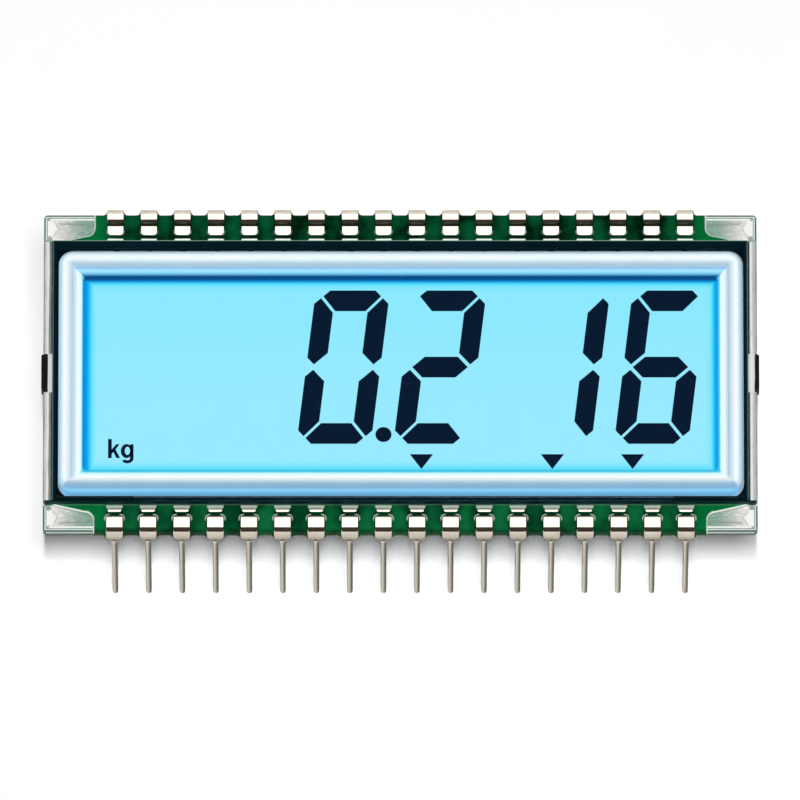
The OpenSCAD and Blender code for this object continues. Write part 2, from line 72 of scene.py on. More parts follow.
# %% Camera
PHOTO_PX = 800
PX_PER_MM = 13.218
GLASS_CENTRE_PX = (400.25, 373.15)
VIEW_TILT = math.radians(23)
CAMERA_AWAY = 2.5
SENSOR_MM = 36.0


def add_object(name, data):
    """A new object at the origin, in the scene."""
    made = bpy.data.objects.new(name, data)
    bpy.context.scene.collection.objects.link(made)
    return made


half_px = PHOTO_PX / 2
aim = Vector([MM * v for v in (
    (half_px - GLASS_CENTRE_PX[0]) / PX_PER_MM,
    (GLASS_CENTRE_PX[1] - half_px) / (PX_PER_MM * math.cos(VIEW_TILT)),
    ledge_z,
)])
camera_data = bpy.data.cameras.new("camera")
camera_data.sensor_width = SENSOR_MM
camera_data.lens = PX_PER_MM * SENSOR_MM * CAMERA_AWAY / MM / PHOTO_PX
camera_data.clip_start = CAMERA_AWAY / 100
camera_data.clip_end = CAMERA_AWAY * 10
camera = add_object("camera", camera_data)
camera.location = aim + CAMERA_AWAY * Vector((0, -math.sin(VIEW_TILT), math.cos(VIEW_TILT)))
camera.rotation_euler = (VIEW_TILT, 0, 0)
bpy.context.scene.camera = camera
bpy.context.scene.view_settings.view_transform = "Standard"
print("camera: lens", round(camera_data.lens), "mm, aimed at", [round(v / MM, 2) for v in aim])

# %% [markdown]
# Node trees read better as sums than as boxes and noodles. Wire wraps one output socket, so that plain
# arithmetic adds Math nodes. Network holds one tree, and its node method makes any other node: its type, its
# settings first, then the values or wires of its sockets. Colours are written as a picture shows them, from 0
# to 255, and turned into the linear colours that a shader takes.

# %% Tones and wires
def tone(red, green, blue):
    """A colour as a picture shows it, from 0 to 255, as a linear colour."""
    parts = [value / 255 for value in (red, green, blue)]
    linear = [p / 12.92 if p <= 0.04045 else ((p + 0.055) / 1.055) ** 2.4 for p in parts]
    return (*linear, 1.0)


def maths(operation, flipped=False):
    """A method of a wire that adds one Math node, on the wire and then the other value, or flipped."""
    def method(self, *others):
        terms = (*others, self) if flipped else (self, *others)
        return self.network.node("ShaderNodeMath", {"operation": operation}, dict(enumerate(terms)))
    return method


class Wire:
    """One output socket of a tree, open to plain arithmetic."""

    def __init__(self, network, socket):
        self.network = network
        self.socket = socket

    __add__ = __radd__ = maths("ADD")
    __sub__ = maths("SUBTRACT")
    __rsub__ = maths("SUBTRACT", flipped=True)
    __mul__ = __rmul__ = maths("MULTIPLY")
    __truediv__ = maths("DIVIDE")
    __pow__ = maths("POWER")
    __abs__ = maths("ABSOLUTE")
    least = maths("MINIMUM")
    most = maths("MAXIMUM")

    def ease(self, start, end):
        """Goes smoothly from 0 at start to 1 at end."""
        limits = {"Value": self, "From Min": start, "From Max": end}
        return self.network.node("ShaderNodeMapRange", {"interpolation_type": "SMOOTHSTEP"}, limits)


print("wires ready, mid grey is", round(tone(188, 188, 188)[0], 3))

# %% Networks
class Network:
    """One tree of nodes, which starts empty."""

    def __init__(self, tree):
        self.tree = tree
        self.tree.nodes.clear()

    def node(self, kind, settings=None, sockets=None, out=0):
        made = self.tree.nodes.new(kind)
        for name, value in (settings or {}).items():
            if name == "stops":
                self.set_stops(made.color_ramp.elements, value)
            else:
                setattr(made, name, value)
        for name, value in (sockets or {}).items():
            if isinstance(value, Wire):
                self.tree.links.new(value.socket, made.inputs[name])
            else:
                made.inputs[name].default_value = value
        return Wire(self, made.outputs[out]) if len(made.outputs) else None

    def set_stops(self, elements, stops):
        while len(elements) < len(stops):
            elements.new(1.0)
        for element, (position, colour) in zip(elements, stops):
            element.position = position
            element.color = colour

    def mix(self, factor, first, second, how="MIX"):
        """Two colours mixed, each a wire or a colour from 0 to 255."""
        first, second = [tone(*c) if isinstance(c, tuple) else c for c in (first, second)]
        settings = {"data_type": "RGBA", "blend_type": how}
        return self.node("ShaderNodeMix", settings, {0: factor, 6: first, 7: second}, 2)


print("networks ready, for materials, the room and rows")

# %% [markdown]
# Finish is the network of one material. Its short methods name what most finishes need: places and
# directions on the piece, noise by the size of its lumps, coats of colour one over the other, ramps, bumps
# and shaders. Lengths are millimetres.

# %% Finishes
SHEEN_IOR = 1.02


class Finish(Network):
    """One material and the nodes that make it."""

    def __init__(self, name):
        self.material = bpy.data.materials.new(name)
        self.material.use_nodes = True
        super().__init__(self.material.node_tree)
        self.place = self.node("ShaderNodeTexCoord", out="Object")

    def split(self, vector, names):
        return [self.node("ShaderNodeSeparateXYZ", None, {0: vector}, name) for name in names]

    def axes(self, names):
        """The place on the piece along some axes."""
        scaled = self.node("ShaderNodeVectorMath", {"operation": "SCALE"}, {0: self.place, "Scale": 1 / MM})
        return self.split(scaled, names)

    def facing(self, names):
        """The direction of the surface along some axes."""
        return self.split(self.node("ShaderNodeTexCoord", out="Normal"), names)

    def noise(self, grain, detail=2.0, turn=0.0):
        """Noise from 0 to 1 whose lumps measure grain, one size or one along each axis."""
        sizes = grain if isinstance(grain, tuple) else (grain, grain, grain)
        scale = tuple(1 / (size * MM) for size in sizes)
        mapping = {"Vector": self.place, "Rotation": (0, 0, turn), "Scale": scale}
        turned = self.node("ShaderNodeMapping", None, mapping)
        return self.node("ShaderNodeTexNoise", None, {"Vector": turned, "Scale": 1.0, "Detail": detail})

    def coats(self, colour, *layers):
        """A colour under several layers, each a mask and a colour."""
        for mask, layer in layers:
            colour = self.mix(mask, colour, layer)
        return colour

    def ramp(self, value, stops, reach=1.0):
        """Colours along a value that runs from 0 to reach."""
        scaled = [(place / reach, tone(*colour)) for place, colour in stops]
        share = value if reach == 1.0 else value / reach
        return self.node("ShaderNodeValToRGB", {"stops": scaled}, {"Fac": share})

    def bump(self, height, depth, strength):
        sockets = {"Height": height, "Distance": depth * MM, "Strength": strength}
        return self.node("ShaderNodeBump", None, sockets)

    def skin(self, **sockets):
        named = {name.replace("_", " ").title().replace("Ior", "IOR"): v for name, v in sockets.items()}
        return self.node("ShaderNodeBsdfPrincipled", None, named)

    def clear(self, tint=(255, 255, 255)):
        return self.node("ShaderNodeBsdfTransparent", None, {"Color": tone(*tint)})

    def sheen(self, roughness):
        """A trace of gloss that grows towards grazing angles: its share and its shader."""
        share = self.node("ShaderNodeFresnel", None, {"IOR": SHEEN_IOR})
        settings = {"Color": tone(255, 255, 255), "Roughness": roughness}
        return share, self.node("ShaderNodeBsdfAnisotropic", None, settings)

    def blend(self, factor, first, second):
        return self.node("ShaderNodeMixShader", None, {0: factor, 1: first, 2: second})

    def done(self, shader):
        self.node("ShaderNodeOutputMaterial", None, {"Surface": shader})
        print("finish:", self.material.name, "with", len(self.tree.nodes), "nodes")
        return self.material

    def solid(self, **sockets):
        """The finish of an opaque piece."""
        return self.done(self.skin(**sockets))


print("finishes ready, with a sheen like that of an index of", SHEEN_IOR)

# %% [markdown]
# The display stands on a white table in soft light. A floor that is white by its own colour, under lamps of
# a plain level, comes out white in the picture and still takes the shadow. The table has the faint
# mottle of matt card.

# %% Floor
FLOOR_SIDE = 6.0


def table_card():
    finish = Finish("table_card")
    colour = finish.mix(finish.noise(9, 3), (254, 254, 254), (255, 255, 255))
    return finish.solid(base_color=colour, roughness=0.9, specular_ior_level=0.0)


half_floor = FLOOR_SIDE / 2
floor_mesh = bpy.data.meshes.new("floor")
floor_corners = [(sx * half_floor, sy * half_floor, 0) for sx, sy in ((-1, -1), (1, -1), (1, 1), (-1, 1))]
floor_mesh.from_pydata(floor_corners, [], [(0, 1, 2, 3)])
floor_mesh.materials.append(table_card())
floor = add_object("floor", floor_mesh)
print("floor:", FLOOR_SIDE, "m wide")

# %% [markdown]
# The bright metal tells where the lamps stood. A key lamp in front of the display, a strip that runs from
# front to back, draws the shadow under its near edge, and a weaker fill from the right shades the floor on
# the left. A white card overhead is what the plating mirrors: every flat piece turns white, the bends turn
# beige towards a dimmer card behind it, and what faces the dim room in front turns dark. As with flags in a
# studio, the lamps are kept out of the mirrors and the cards off the matt surfaces.

# %% Lamps
KEY_SHARE = 0.69
FILL_SHARE = 0.25
CARD_LIGHT = 1.85
BACK_CARD_LIGHT = 0.95
LAMP_AWAY = 6.0
LAMP_LEAN = -17
CARD_AWAY = 0.8


def lamp(name, away, lean, sideways, sizes, watts, mirrored):
    """An area lamp aimed at the display, leaning to the back and to the right by two angles in degrees."""
    data = bpy.data.lights.new(name, "AREA")
    data.shape = "RECTANGLE"
    data.size, data.size_y = sizes
    data.energy = watts
    piece = add_object(name, data)
    towards = Vector((math.tan(math.radians(sideways)), math.tan(math.radians(lean)), 1)).normalized()
    piece.location = away * towards
    piece.rotation_euler = towards.to_track_quat("Z", "Y").to_euler()
    piece.visible_camera = False
    piece.visible_glossy = mirrored
    piece.visible_diffuse = not mirrored
    print("lamp:", name, round(watts, 2), "W")


def lamp_sizes(away, wide, deep):
    """Sides of a lamp that reaches so many degrees to each side of its middle."""
    return [2 * away * math.tan(math.radians(angle)) for angle in (wide, deep)]


full_watts = math.pi ** 2 * LAMP_AWAY ** 2 / math.cos(math.radians(LAMP_LEAN))
# Each row has a name, an angle to the right or to the back, half the angles across and along, and a light
for name, sideways, wide, deep, share in (
    ("key_lamp", 0, 0.6, 6, KEY_SHARE), ("fill_lamp", 5, 5, 6, FILL_SHARE),
):
    sizes = lamp_sizes(LAMP_AWAY, wide, deep)
    lamp(name, LAMP_AWAY, LAMP_LEAN, sideways, sizes, share * full_watts, False)
for name, lean, wide, deep, light in (
    ("white_card", 21.5, 38, 23.5, CARD_LIGHT), ("back_card", 66, 38, 20.5, BACK_CARD_LIGHT),
):
    sizes = lamp_sizes(CARD_AWAY, wide, deep)
    lamp(name, CARD_AWAY, lean, 0, sizes, light * math.pi * sizes[0] * sizes[1], True)

# %% Room
LAYERS_OF_GLASS = 24

world = bpy.data.worlds.new("room")
world.use_nodes = True
bpy.context.scene.world = world
room = Network(world.node_tree)
direction = room.node("ShaderNodeTexCoord", out="Generated")
backwards = room.node("ShaderNodeSeparateXYZ", None, {0: direction}, "Y")
walls = room.mix(backwards.ease(0.0, 0.8), (70, 64, 60), (96, 92, 87))
glow = room.node("ShaderNodeBackground", None, {"Color": walls})
room.node("ShaderNodeOutputWorld", None, {"Surface": glow})
bpy.context.scene.cycles.transparent_max_bounces = LAYERS_OF_GLASS
print("room: dim in front, beige behind")

# %% [markdown]
# The clips are stamped from thin strip, bent round the edge of the glass and plated with tin. Seen close,
# tin is a warm, satin metal: soft clouds in its polish, and fine lines that the rollers left along the
# strip. The webs below the ledge darken downwards in painted shade. The leads were dipped in solder, which is
# painted lighter on their left and darker on their right as painted light and shade. The edges that the die
# cut are dark, and the sides of the round leads are painted darker as painted shade. One metal finish serves
# the clips and the two backlight terminals.

# %% Plated metal
def plated_metal():
    finish = Finish("plated_metal")
    above_ledge = finish.axes("Z")[0] - ledge_z
    nx = finish.facing("X")[0]
    cloud = finish.noise(0.8, 2)
    rolled = finish.noise((0.03, 4.0, 4.0), 1)
    tin = finish.mix(cloud.ease(0.3, 0.7), (214, 205, 190), (224, 215, 200))
    # Painted shade: the webs darken downwards below the ledge.
    painted_web_shade = above_ledge.ease(-0.1, -0.95) * 0.7
    dip = above_ledge.ease(-0.95, -1.2)
    # Solder, painted lighter on the left of each lead and darker on its right as painted light and shade.
    solder_and_painted_light = finish.mix(nx.ease(-0.5, 0.65), (232, 225, 211), (112, 106, 95))
    solder_and_painted_light = finish.mix(cloud * 0.3, solder_and_painted_light, (206, 199, 185))
    # Dark die-cut edges; on the round leads this paints shade on their sides, more on the right.
    cut_edges_and_painted_shade = nx.ease(0.3, 0.8).most(nx.ease(-0.7, -1.0)) * (0.85 - 0.5 * dip)
    return finish.solid(
        base_color=finish.coats(tin, (painted_web_shade, (146, 137, 120)), (dip, solder_and_painted_light), (cut_edges_and_painted_shade, (84, 79, 69))),
        metallic=1.0, roughness=0.09 + 0.05 * cloud + 0.03 * rolled,
        normal=finish.bump(rolled, 0.002, 0.15), specular_tint=(0.42, 0.41, 0.39, 1.0),
    )


plated = plated_metal()

# %% [markdown]
# One clip is a single strip. It starts as a tongue that lies on the ledge, steps up, arches over the edge
# of the glass, turns down as a web and narrows into a round lead, while two narrow arms bend back under
# the glass. A walk along the middle of the strip, in straight runs and turns, gives the places where a
# rounded section is set, and the sections are skinned. That keeps the true bends and soft stamped edges.
# The arch of a lower clip is a little longer and tighter than that of an upper one.

# %% Walk along the strip
STRIP_T = 0.24
WEB_GAP = 0.08
STEP_R = 0.12
ROOT_R = 0.03
STEP_ANGLE = 70
ARCH_RISE = 0.5
TONGUE_REACH = 1.83
TONGUE_R = 0.3
SHOULDER_TOP = -0.3
RUN_STEPS = 4
TURN_STEPS = 10


def walk(start, heading, moves):
    """Places (depth, height) and headings along runs ("run", length) and turns ("turn", angle, radius)."""
    depth, height = start
    angle = math.radians(heading)
    places = [(depth, height, angle)]
    for move in moves:
        if move[0] == "run":
            pieces, turned, length = RUN_STEPS, 0.0, move[1]
        else:
            pieces, turned = TURN_STEPS, math.radians(move[1])
            length = abs(turned) * move[2]
        for _ in range(pieces):
            angle += turned / pieces / 2
            depth += length / pieces * math.cos(angle)
            height += length / pieces * math.sin(angle)
            angle += turned / pieces / 2
            places.append((depth, height, angle))
    return places


middle_step_r = STEP_R + STRIP_T / 2
middle_root_r = ROOT_R + STRIP_T / 2
step_turn = math.radians(STEP_ANGLE)
step_drop = ARCH_RISE - (middle_step_r + middle_root_r) * (1 - math.cos(step_turn))


def strip_walk(bend_r, arch_flat):
    """The walk from the tongue over the arch, by its bend and its flat, to the top of the shoulders."""
    arch_end = bend_r - WEB_GAP + arch_flat
    turns_l = (middle_step_r + middle_root_r) * math.sin(step_turn)
    tongue_root = arch_end + turns_l + step_drop / math.tan(step_turn)
    return walk((TONGUE_REACH - TONGUE_R, STRIP_T / 2), 180, [
        ("run", TONGUE_REACH - TONGUE_R - tongue_root),
        ("turn", -STEP_ANGLE, middle_root_r),
        ("run", step_drop / math.sin(step_turn)),
        ("turn", STEP_ANGLE, middle_step_r),
        ("run", arch_flat),
        ("turn", 90, bend_r + STRIP_T / 2),
        ("run", ARCH_RISE - bend_r - SHOULDER_TOP),
    ])


print("strip: steps up by", ARCH_RISE, "mm, straight over", round(step_drop, 3), "mm of it")

# %% Skin of rounded sections
CORNER_STEPS = 4


def rounded_section(wide, thick, radius):
    """Points round a rectangle with round corners, across and through the strip."""
    points = []
    for corner, (sx, sy) in enumerate(((1, 1), (-1, 1), (-1, -1), (1, -1))):
        for step in range(CORNER_STEPS):
            angle = math.radians(90) * (corner + step / (CORNER_STEPS - 1))
            points.append((
                sx * (wide / 2 - radius) + radius * math.cos(angle),
                sy * (thick / 2 - radius) + radius * math.sin(angle),
            ))
    return points


def ring_faces(rings, ring):
    """Faces of a closed skin over so many rings of points, with a cap at both ends."""
    faces = []
    for low in range(0, (rings - 1) * ring, ring):
        for k in range(ring):
            following = (k + 1) % ring
            faces.append((low + k, low + following, low + ring + following, low + ring + k))
    return faces + [tuple(range(ring - 1, -1, -1)), tuple(range((rings - 1) * ring, rings * ring))]


def skin_of(stations):
    """Points and faces of a strip from stations (centre, depth, height, angle, wide, thick, radius)."""
    points = []
    for centre, depth, height, angle, *sizes in stations:
        for across, through in rounded_section(*sizes):
            points.append((
                centre + across,
                depth + through * math.sin(angle),
                height - through * math.cos(angle),
            ))
    return points, ring_faces(len(stations), 4 * CORNER_STEPS)


def joined(shapes):
    """One list of points and one of faces, from several shapes."""
    points, faces = [], []
    for more, more_faces in shapes:
        faces += [tuple(len(points) + k for k in face) for face in more_faces]
        points += more
    return points, faces


print("sections have", 4 * CORNER_STEPS, "points")

# %% Tongue, web and lead
CLIP_W = 1.3
STRIP_EDGE_R = 0.07
TIP_STEPS = 6
SHOULDER_STEPS = 9
SHOULDER_W = 0.25
SHOULDER_H = 0.7
NECK_D = 0.5
NECK_L = 0.22
NECK_RUN = 0.25
LEAD_D = 0.43
LEAD_END_D = 0.37
LEAD_TAPER = 0.05
LEVEL_RUN = 0.15
NEARLY_ROUND = 0.48


def half_width(height):
    """Half the width of the web, which draws in towards the lead in a quarter of an ellipse."""
    drop = min(max((SHOULDER_TOP - height) / SHOULDER_H, 0.0), 1.0)
    return CLIP_W / 2 - SHOULDER_W * (1 - math.sqrt(1 - drop ** 2))


tip_stations = []
for step in range(TIP_STEPS):
    angle = math.radians(90) * step / TIP_STEPS
    back = TONGUE_R * (1 - math.cos(angle))
    wide = CLIP_W - 2 * TONGUE_R * (1 - math.sin(angle))
    thick = STRIP_T - (STRIP_EDGE_R if step == 0 else 0)
    tip_stations.append((0, TONGUE_REACH - back, STRIP_T / 2, math.pi, wide, thick, STRIP_EDGE_R))

lead_depth = -WEB_GAP - STRIP_T / 2
web_end = SHOULDER_TOP - SHOULDER_H
neck_end = web_end - NECK_L
lead_sizes = []
for step in range(1, SHOULDER_STEPS + 1):
    height = SHOULDER_TOP - SHOULDER_H * math.sin(math.radians(90) * step / SHOULDER_STEPS)
    lead_sizes.append((height, 2 * half_width(height), STRIP_T, STRIP_EDGE_R))
# Between the flat web and the round neck
lead_sizes += [
    (web_end - 0.05, NECK_D + 0.08, STRIP_T + 0.04, 0.09),
    (web_end - 0.12, NECK_D, 0.8 * NECK_D, 0.18),
]
lead_sizes += [(height, d, d, NEARLY_ROUND * d) for height, d in (
    (neck_end, NECK_D), (neck_end - NECK_RUN, LEAD_D), (neck_end - NECK_RUN - LEVEL_RUN, LEAD_D),
    (LEAD_TAPER + LEVEL_RUN - ledge_z, LEAD_D), (LEAD_TAPER - ledge_z, LEAD_D), (-ledge_z, LEAD_END_D),
)]
lead_stations = [(0, lead_depth, height, math.radians(270), *sizes) for height, *sizes in lead_sizes]
print("lead:", LEAD_D, "mm round, with its web in", len(lead_stations), "stations")

# %% Arms and whole clip
ARM_DROP = 0.12
ARM_BEND_R = 0.22
ARM_W = 0.32
ARM_ANGLE = 22
ARM_BITE = 0.03
ARM_ROOT = 0.04
ARM_DRAW = 0.3

arm_slope = math.radians(ARM_ANGLE)
arm_l = (ARM_DROP + ARM_BEND_R * math.cos(arm_slope)) / math.sin(arm_slope) - 2 * ARM_BITE
arm_walk = walk((lead_depth, ARM_ROOT - glass_t - ARM_DROP), 270, [
    ("run", ARM_ROOT), ("turn", 90 + ARM_ANGLE, ARM_BEND_R + STRIP_T / 2), ("run", arm_l),
])


def arm_shape(side):
    """One arm under the glass, drawn in with the shoulders where it leaves the web."""
    centre = side * (CLIP_W - ARM_W) / 2
    points, faces = skin_of([(centre, *place, ARM_W, STRIP_T, STRIP_EDGE_R) for place in arm_walk])
    drawn = []
    for across, depth, height in points:
        behind = min(max((depth - lead_depth) / ARM_DRAW, 0.0), 1.0)
        most = half_width(height) + (CLIP_W / 2 - half_width(height)) * behind
        drawn.append((side * min(abs(across), most), depth, height))
    return drawn, faces


def clip_shape(bend_r, arch_flat):
    """Points and faces of one clip, from the edge of the glass and the ledge."""
    strip_stations = [(0, *place, CLIP_W, STRIP_T, STRIP_EDGE_R) for place in strip_walk(bend_r, arch_flat)]
    strip = skin_of(tip_stations + strip_stations + lead_stations)
    points, faces = joined([strip, arm_shape(-1), arm_shape(1)])
    print("clip:", len(points), "points,", len(faces), "faces")
    return points, faces


upper_clip = clip_shape(bend_r=0.4, arch_flat=0.24)
lower_clip = clip_shape(bend_r=0.24, arch_flat=0.6)

# %% [markdown]
# There are eighteen clips in each row, at a pitch that the frame gives. Geometry Nodes set one clip at
# each point of a line, turn the whole row for the upper edge, and join the copies into a plain mesh. A
# modifier with named inputs makes both rows from one tree.

# %% Tree of a row
row_inputs = {
    "Clip": "NodeSocketGeometry", "Count": "NodeSocketInt", "Pitch": "NodeSocketFloat",
    "Start": "NodeSocketVector", "Turn": "NodeSocketFloat", "Finish": "NodeSocketMaterial",
}


def row_tree():
    tree = bpy.data.node_groups.new("clip_row", "GeometryNodeTree")
    for name, kind in row_inputs.items():
        tree.interface.new_socket(name, in_out="INPUT", socket_type=kind)
    tree.interface.new_socket("Row", in_out="OUTPUT", socket_type="NodeSocketGeometry")
    row = Network(tree)
    given = {name: row.node("NodeGroupInput", out=name) for name in row_inputs}
    offset = row.node("ShaderNodeCombineXYZ", None, {"X": given["Pitch"]})
    sockets = {"Count": given["Count"], "Start Location": given["Start"], "Offset": offset}
    line = row.node("GeometryNodeMeshLine", None, sockets)
    turning = row.node("ShaderNodeCombineXYZ", None, {"Z": given["Turn"]})
    sockets = {"Points": line, "Instance": given["Clip"], "Rotation": turning}
    copies = row.node("GeometryNodeInstanceOnPoints", None, sockets)
    whole = row.node("GeometryNodeRealizeInstances", None, {0: copies})
    sockets = {"Geometry": whole, "Material": given["Finish"]}
    row.node("NodeGroupOutput", None, {0: row.node("GeometryNodeSetMaterial", None, sockets)})
    print("tree:", len(tree.nodes), "nodes for a row")
    return tree


rows_of_clips = row_tree()

# %% Rows of clips
def plain_piece(name, points, faces, material, sharp_angle=40):
    """A mesh object from points in millimetres, with smooth faces and sharp edges past an angle."""
    mesh = bpy.data.meshes.new(name)
    mesh.from_pydata([tuple(MM * c for c in point) for point in points], [], faces)
    mesh.materials.append(material)
    mesh.shade_smooth()
    mesh.set_sharp_from_angle(angle=math.radians(sharp_angle))
    return add_object(name, mesh)


def pins_of(stem):
    """The names of a row's pins in the frame, and their middles along the row."""
    pins = sorted(node for node in nodes if node.startswith(stem))
    return pins, [sum(corner.x for corner in box_mm(pin)) / 2 for pin in pins]


def clip_row(name, stem, clip, turn):
    """A row of clips where the frame has the pins of that stem."""
    pins, middles = pins_of(stem)
    edge = (1 if turn else -1) * rear_high.y
    piece = plain_piece(name, *clip, plated)
    modifier = piece.modifiers.new("row", "NODES")
    modifier.node_group = rows_of_clips
    values = {
        "Count": len(pins), "Pitch": MM * (middles[-1] - middles[0]) / (len(pins) - 1),
        "Start": [MM * v for v in (middles[0], edge, ledge_z)], "Turn": turn, "Finish": plated,
    }
    for item in rows_of_clips.interface.items_tree:
        if item.name in values:
            modifier[item.identifier] = values[item.name]
    graph = bpy.context.evaluated_depsgraph_get()
    made = bpy.data.meshes.new_from_object(piece.evaluated_get(graph))
    piece.modifiers.clear()
    piece.data = made
    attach(piece, "root")
    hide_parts(*pins)
    print("row:", name, len(pins), "clips,", len(made.polygons), "faces")


clip_row("upper_clips", "upper_pin_", upper_clip, math.pi)
clip_row("lower_clips", "lower_pin_", lower_clip, 0.0)

# %% [markdown]
# Green resin is run along each ledge over the clips' tongues, and it cures to a glossy, slightly uneven
# bead. It climbs the edge of the front plate, draws up round the metal and ends in a hollow curve with a
# thin tail. A surface whose height follows those rules, set out on a fine grid, shows all of that, and
# walls under it close it to a solid.

# %% Outline of the resin
OVERHANG = 0.02
RESIN_END = 1.62
TAIL_MARGIN = 0.66
TAIL_W = 0.6
END_R = 0.65
MENISCUS_R = 0.3
WEB_SHARE = 0.8

pin_middles = pins_of("lower_pin_")[1]
bead_half = pin_middles[-1] + RESIN_END
tail_l = glass_half - TAIL_MARGIN - bead_half


def to_nearest_pin(across):
    return np.min([np.abs(across - middle) for middle in pin_middles], axis=0)


def tail_line(beyond):
    """Depth of a tail's free edge, so far beyond the bead's end."""
    part = np.clip((beyond - END_R) / (tail_l - END_R), 0, 1)
    return -TAIL_W * (1 - part)


def end_distance(beyond, depth, ledge):
    """Distance inside an end's free edge: straight, then a hollow quarter circle, then the tail's line."""
    over = np.maximum(depth - (ledge - TAIL_W - END_R), 0)
    hollow = np.hypot(np.maximum(END_R - beyond, 0), over) - END_R
    return np.where(beyond < END_R, hollow, depth - ledge - tail_line(beyond))


def outer_edge(across):
    """Depth of the resin's outer face, drawn out beside each web."""
    beside = to_nearest_pin(across) - CLIP_W / 2
    near = np.clip(MENISCUS_R - beside, 0, MENISCUS_R)
    drawn = MENISCUS_R - np.sqrt(MENISCUS_R ** 2 - near ** 2)
    web_back = WEB_GAP + STRIP_T * WEB_SHARE
    return -OVERHANG - np.minimum(np.where(beside < 0, MENISCUS_R, drawn), web_back - OVERHANG)


print("resin: beads", round(2 * bead_half, 2), "mm long, tails", round(tail_l, 2), "mm")

# %% Height of the resin
RESIN_T = 0.3
RESIN_EDGE_R = 0.2
OUTER_RUN = 0.42
OUTER_DROP = 0.45
POCKET_FLOOR = 0.14
LIP_RISE = 0.05
LIP_REACH = 0.1
SWELL = 0.012

# rim, line and bar are the strengths of painted highlights at the free ends, along the front plate and below
# the tongues.
upper_place = {
    "ledge": rear_high.y - front_high.y, "bare_from": 0.7, "bare_to": 1.74, "bare_w": 0.6,
    "climb": 0.2, "rim": 0.14, "line": 0.45, "bar": 1.0, "hump": False,
}
lower_place = {
    "ledge": rear_high.y + front_low.y, "bare_from": 1.5, "bare_to": 1.83, "bare_w": 0.52,
    "climb": 0.05, "rim": 0.11, "line": 0.05, "bar": 0.5, "hump": True,
}


def smooth(value, start, end):
    part = np.clip((value - start) / (end - start), 0, 1)
    return part * part * (3 - 2 * part)


def patch_distance(aside, depth, start, end, half_w):
    """Distance outside a rounded patch round a clip's middle line, between two depths from the glass edge."""
    half_l = (end - start) / 2
    radius = min(TONGUE_R, half_l)
    dx = aside - (half_w - radius)
    dy = np.abs(depth - start - half_l) - (half_l - radius)
    outside = np.hypot(np.maximum(dx, 0), np.maximum(dy, 0))
    return outside + np.minimum(np.maximum(dx, dy), 0) - radius


def bare_distance(aside, depth, place):
    """Distance outside the part of a tongue that the resin leaves bare."""
    return patch_distance(aside, depth, place["bare_from"], place["bare_to"], place["bare_w"])


def rounding(away, run, drop):
    """How far a surface sinks towards a free edge, as a quarter of an ellipse."""
    short = np.clip(1 - away / run, 0, 1)
    return drop * (1 - np.sqrt(1 - short ** 2))


def resin_height(across, depth, outer_away, end_away, place):
    """Height above the ledge at a place so far inside the outer edge and the edge of an end or tail."""
    height = np.full_like(depth, RESIN_T)
    height += SWELL * np.sin(across * 1.7 + 2 * np.sin(across * 0.6))
    climb = place["climb"]
    into_climb = np.clip(depth - (place["ledge"] - climb), 0, climb)
    height += climb - np.sqrt(climb ** 2 - into_climb ** 2)
    outer_sink = rounding(outer_away, OUTER_RUN, OUTER_DROP)
    height -= np.maximum(outer_sink, rounding(end_away, RESIN_EDGE_R, RESIN_EDGE_R))
    away = bare_distance(to_nearest_pin(across), depth, place)
    height += LIP_RISE * np.exp(-np.maximum(away, 0) / LIP_REACH) * smooth(depth, 0.5, 0.9)
    return POCKET_FLOOR + (height - POCKET_FLOOR) * smooth(away, -0.05, 0.03)


ledges = [round(place["ledge"], 2) for place in (upper_place, lower_place)]
print("resin:", RESIN_T, "mm thick over ledges of", ledges, "mm")

# %% Light and shade in the resin
BAR_HALF_W = 0.66
HUMP_END = 1.22
HUMP_MARGIN = 0.03
SHADE_REACH = 0.2


def painted_resin_highlight(across, depth, end_away, place):
    """Share of painted highlight: at the ends, in arcs round the metal, in bars below the tongues and along
    the front plate's edge.
    """
    aside, from_plate = to_nearest_pin(across), place["ledge"] - depth
    rim = smooth(end_away, place["rim"], place["rim"] * 0.45)
    line = smooth(from_plate, 0.1, 0.05) * place["line"]
    flare = BAR_HALF_W - 0.25 * from_plate
    bar = smooth(aside, flare + 0.03, flare - 0.03) * place["bar"]
    bar = bar * smooth(from_plate, 0.38, 0.3) * smooth(from_plate, 0.06, 0.12)
    if place["hump"]:
        away = patch_distance(aside, depth, -0.5, HUMP_END, CLIP_W / 2 + HUMP_MARGIN)
        ring = smooth(np.abs(away - 0.06), 0.06, 0.01) * 0.6
        ring = ring * smooth(depth, 0.7, 0.95) * smooth(aside, 0.3, 0.5)
    else:
        away = bare_distance(aside, depth, place)
        ring = smooth(np.abs(away - 0.07), 0.04, 0.0) * 0.35
        ring = ring * smooth(depth, 1.3, 1.5) * smooth(aside, 0.4, 0.6)
    return np.clip(np.maximum.reduce([rim, ring, bar, line]), 0, 1)


def resin_gloom(across, depth, place):
    """Share of deep shade: close beside the clips, round the bare tongues and on the outer face."""
    aside = to_nearest_pin(across)
    beside = 0.55 * np.exp(-np.maximum(aside - CLIP_W / 2, 0) / SHADE_REACH)
    outer = smooth(depth, 0.25, 0.0) * 0.6
    if place["hump"]:
        around = smooth(aside, 0.75, 0.6) * smooth(depth, 1.0, 1.1) * smooth(depth, 1.56, 1.46)
    else:
        around = smooth(bare_distance(aside, depth, place), 0.24, 0.1) * smooth(depth, 1.6, 1.8)
    return np.clip(np.maximum.reduce([beside, outer, around]), 0, 1)


print("resin: shade reaches", SHADE_REACH, "mm from the metal")

# %% Mesh of the resin
GRID_MM = 0.05
UNDER_GLOOM = 0.6
EDGE_STEPS = 8
MIDDLE_STEPS = 38
TAIL_STEPS = 90


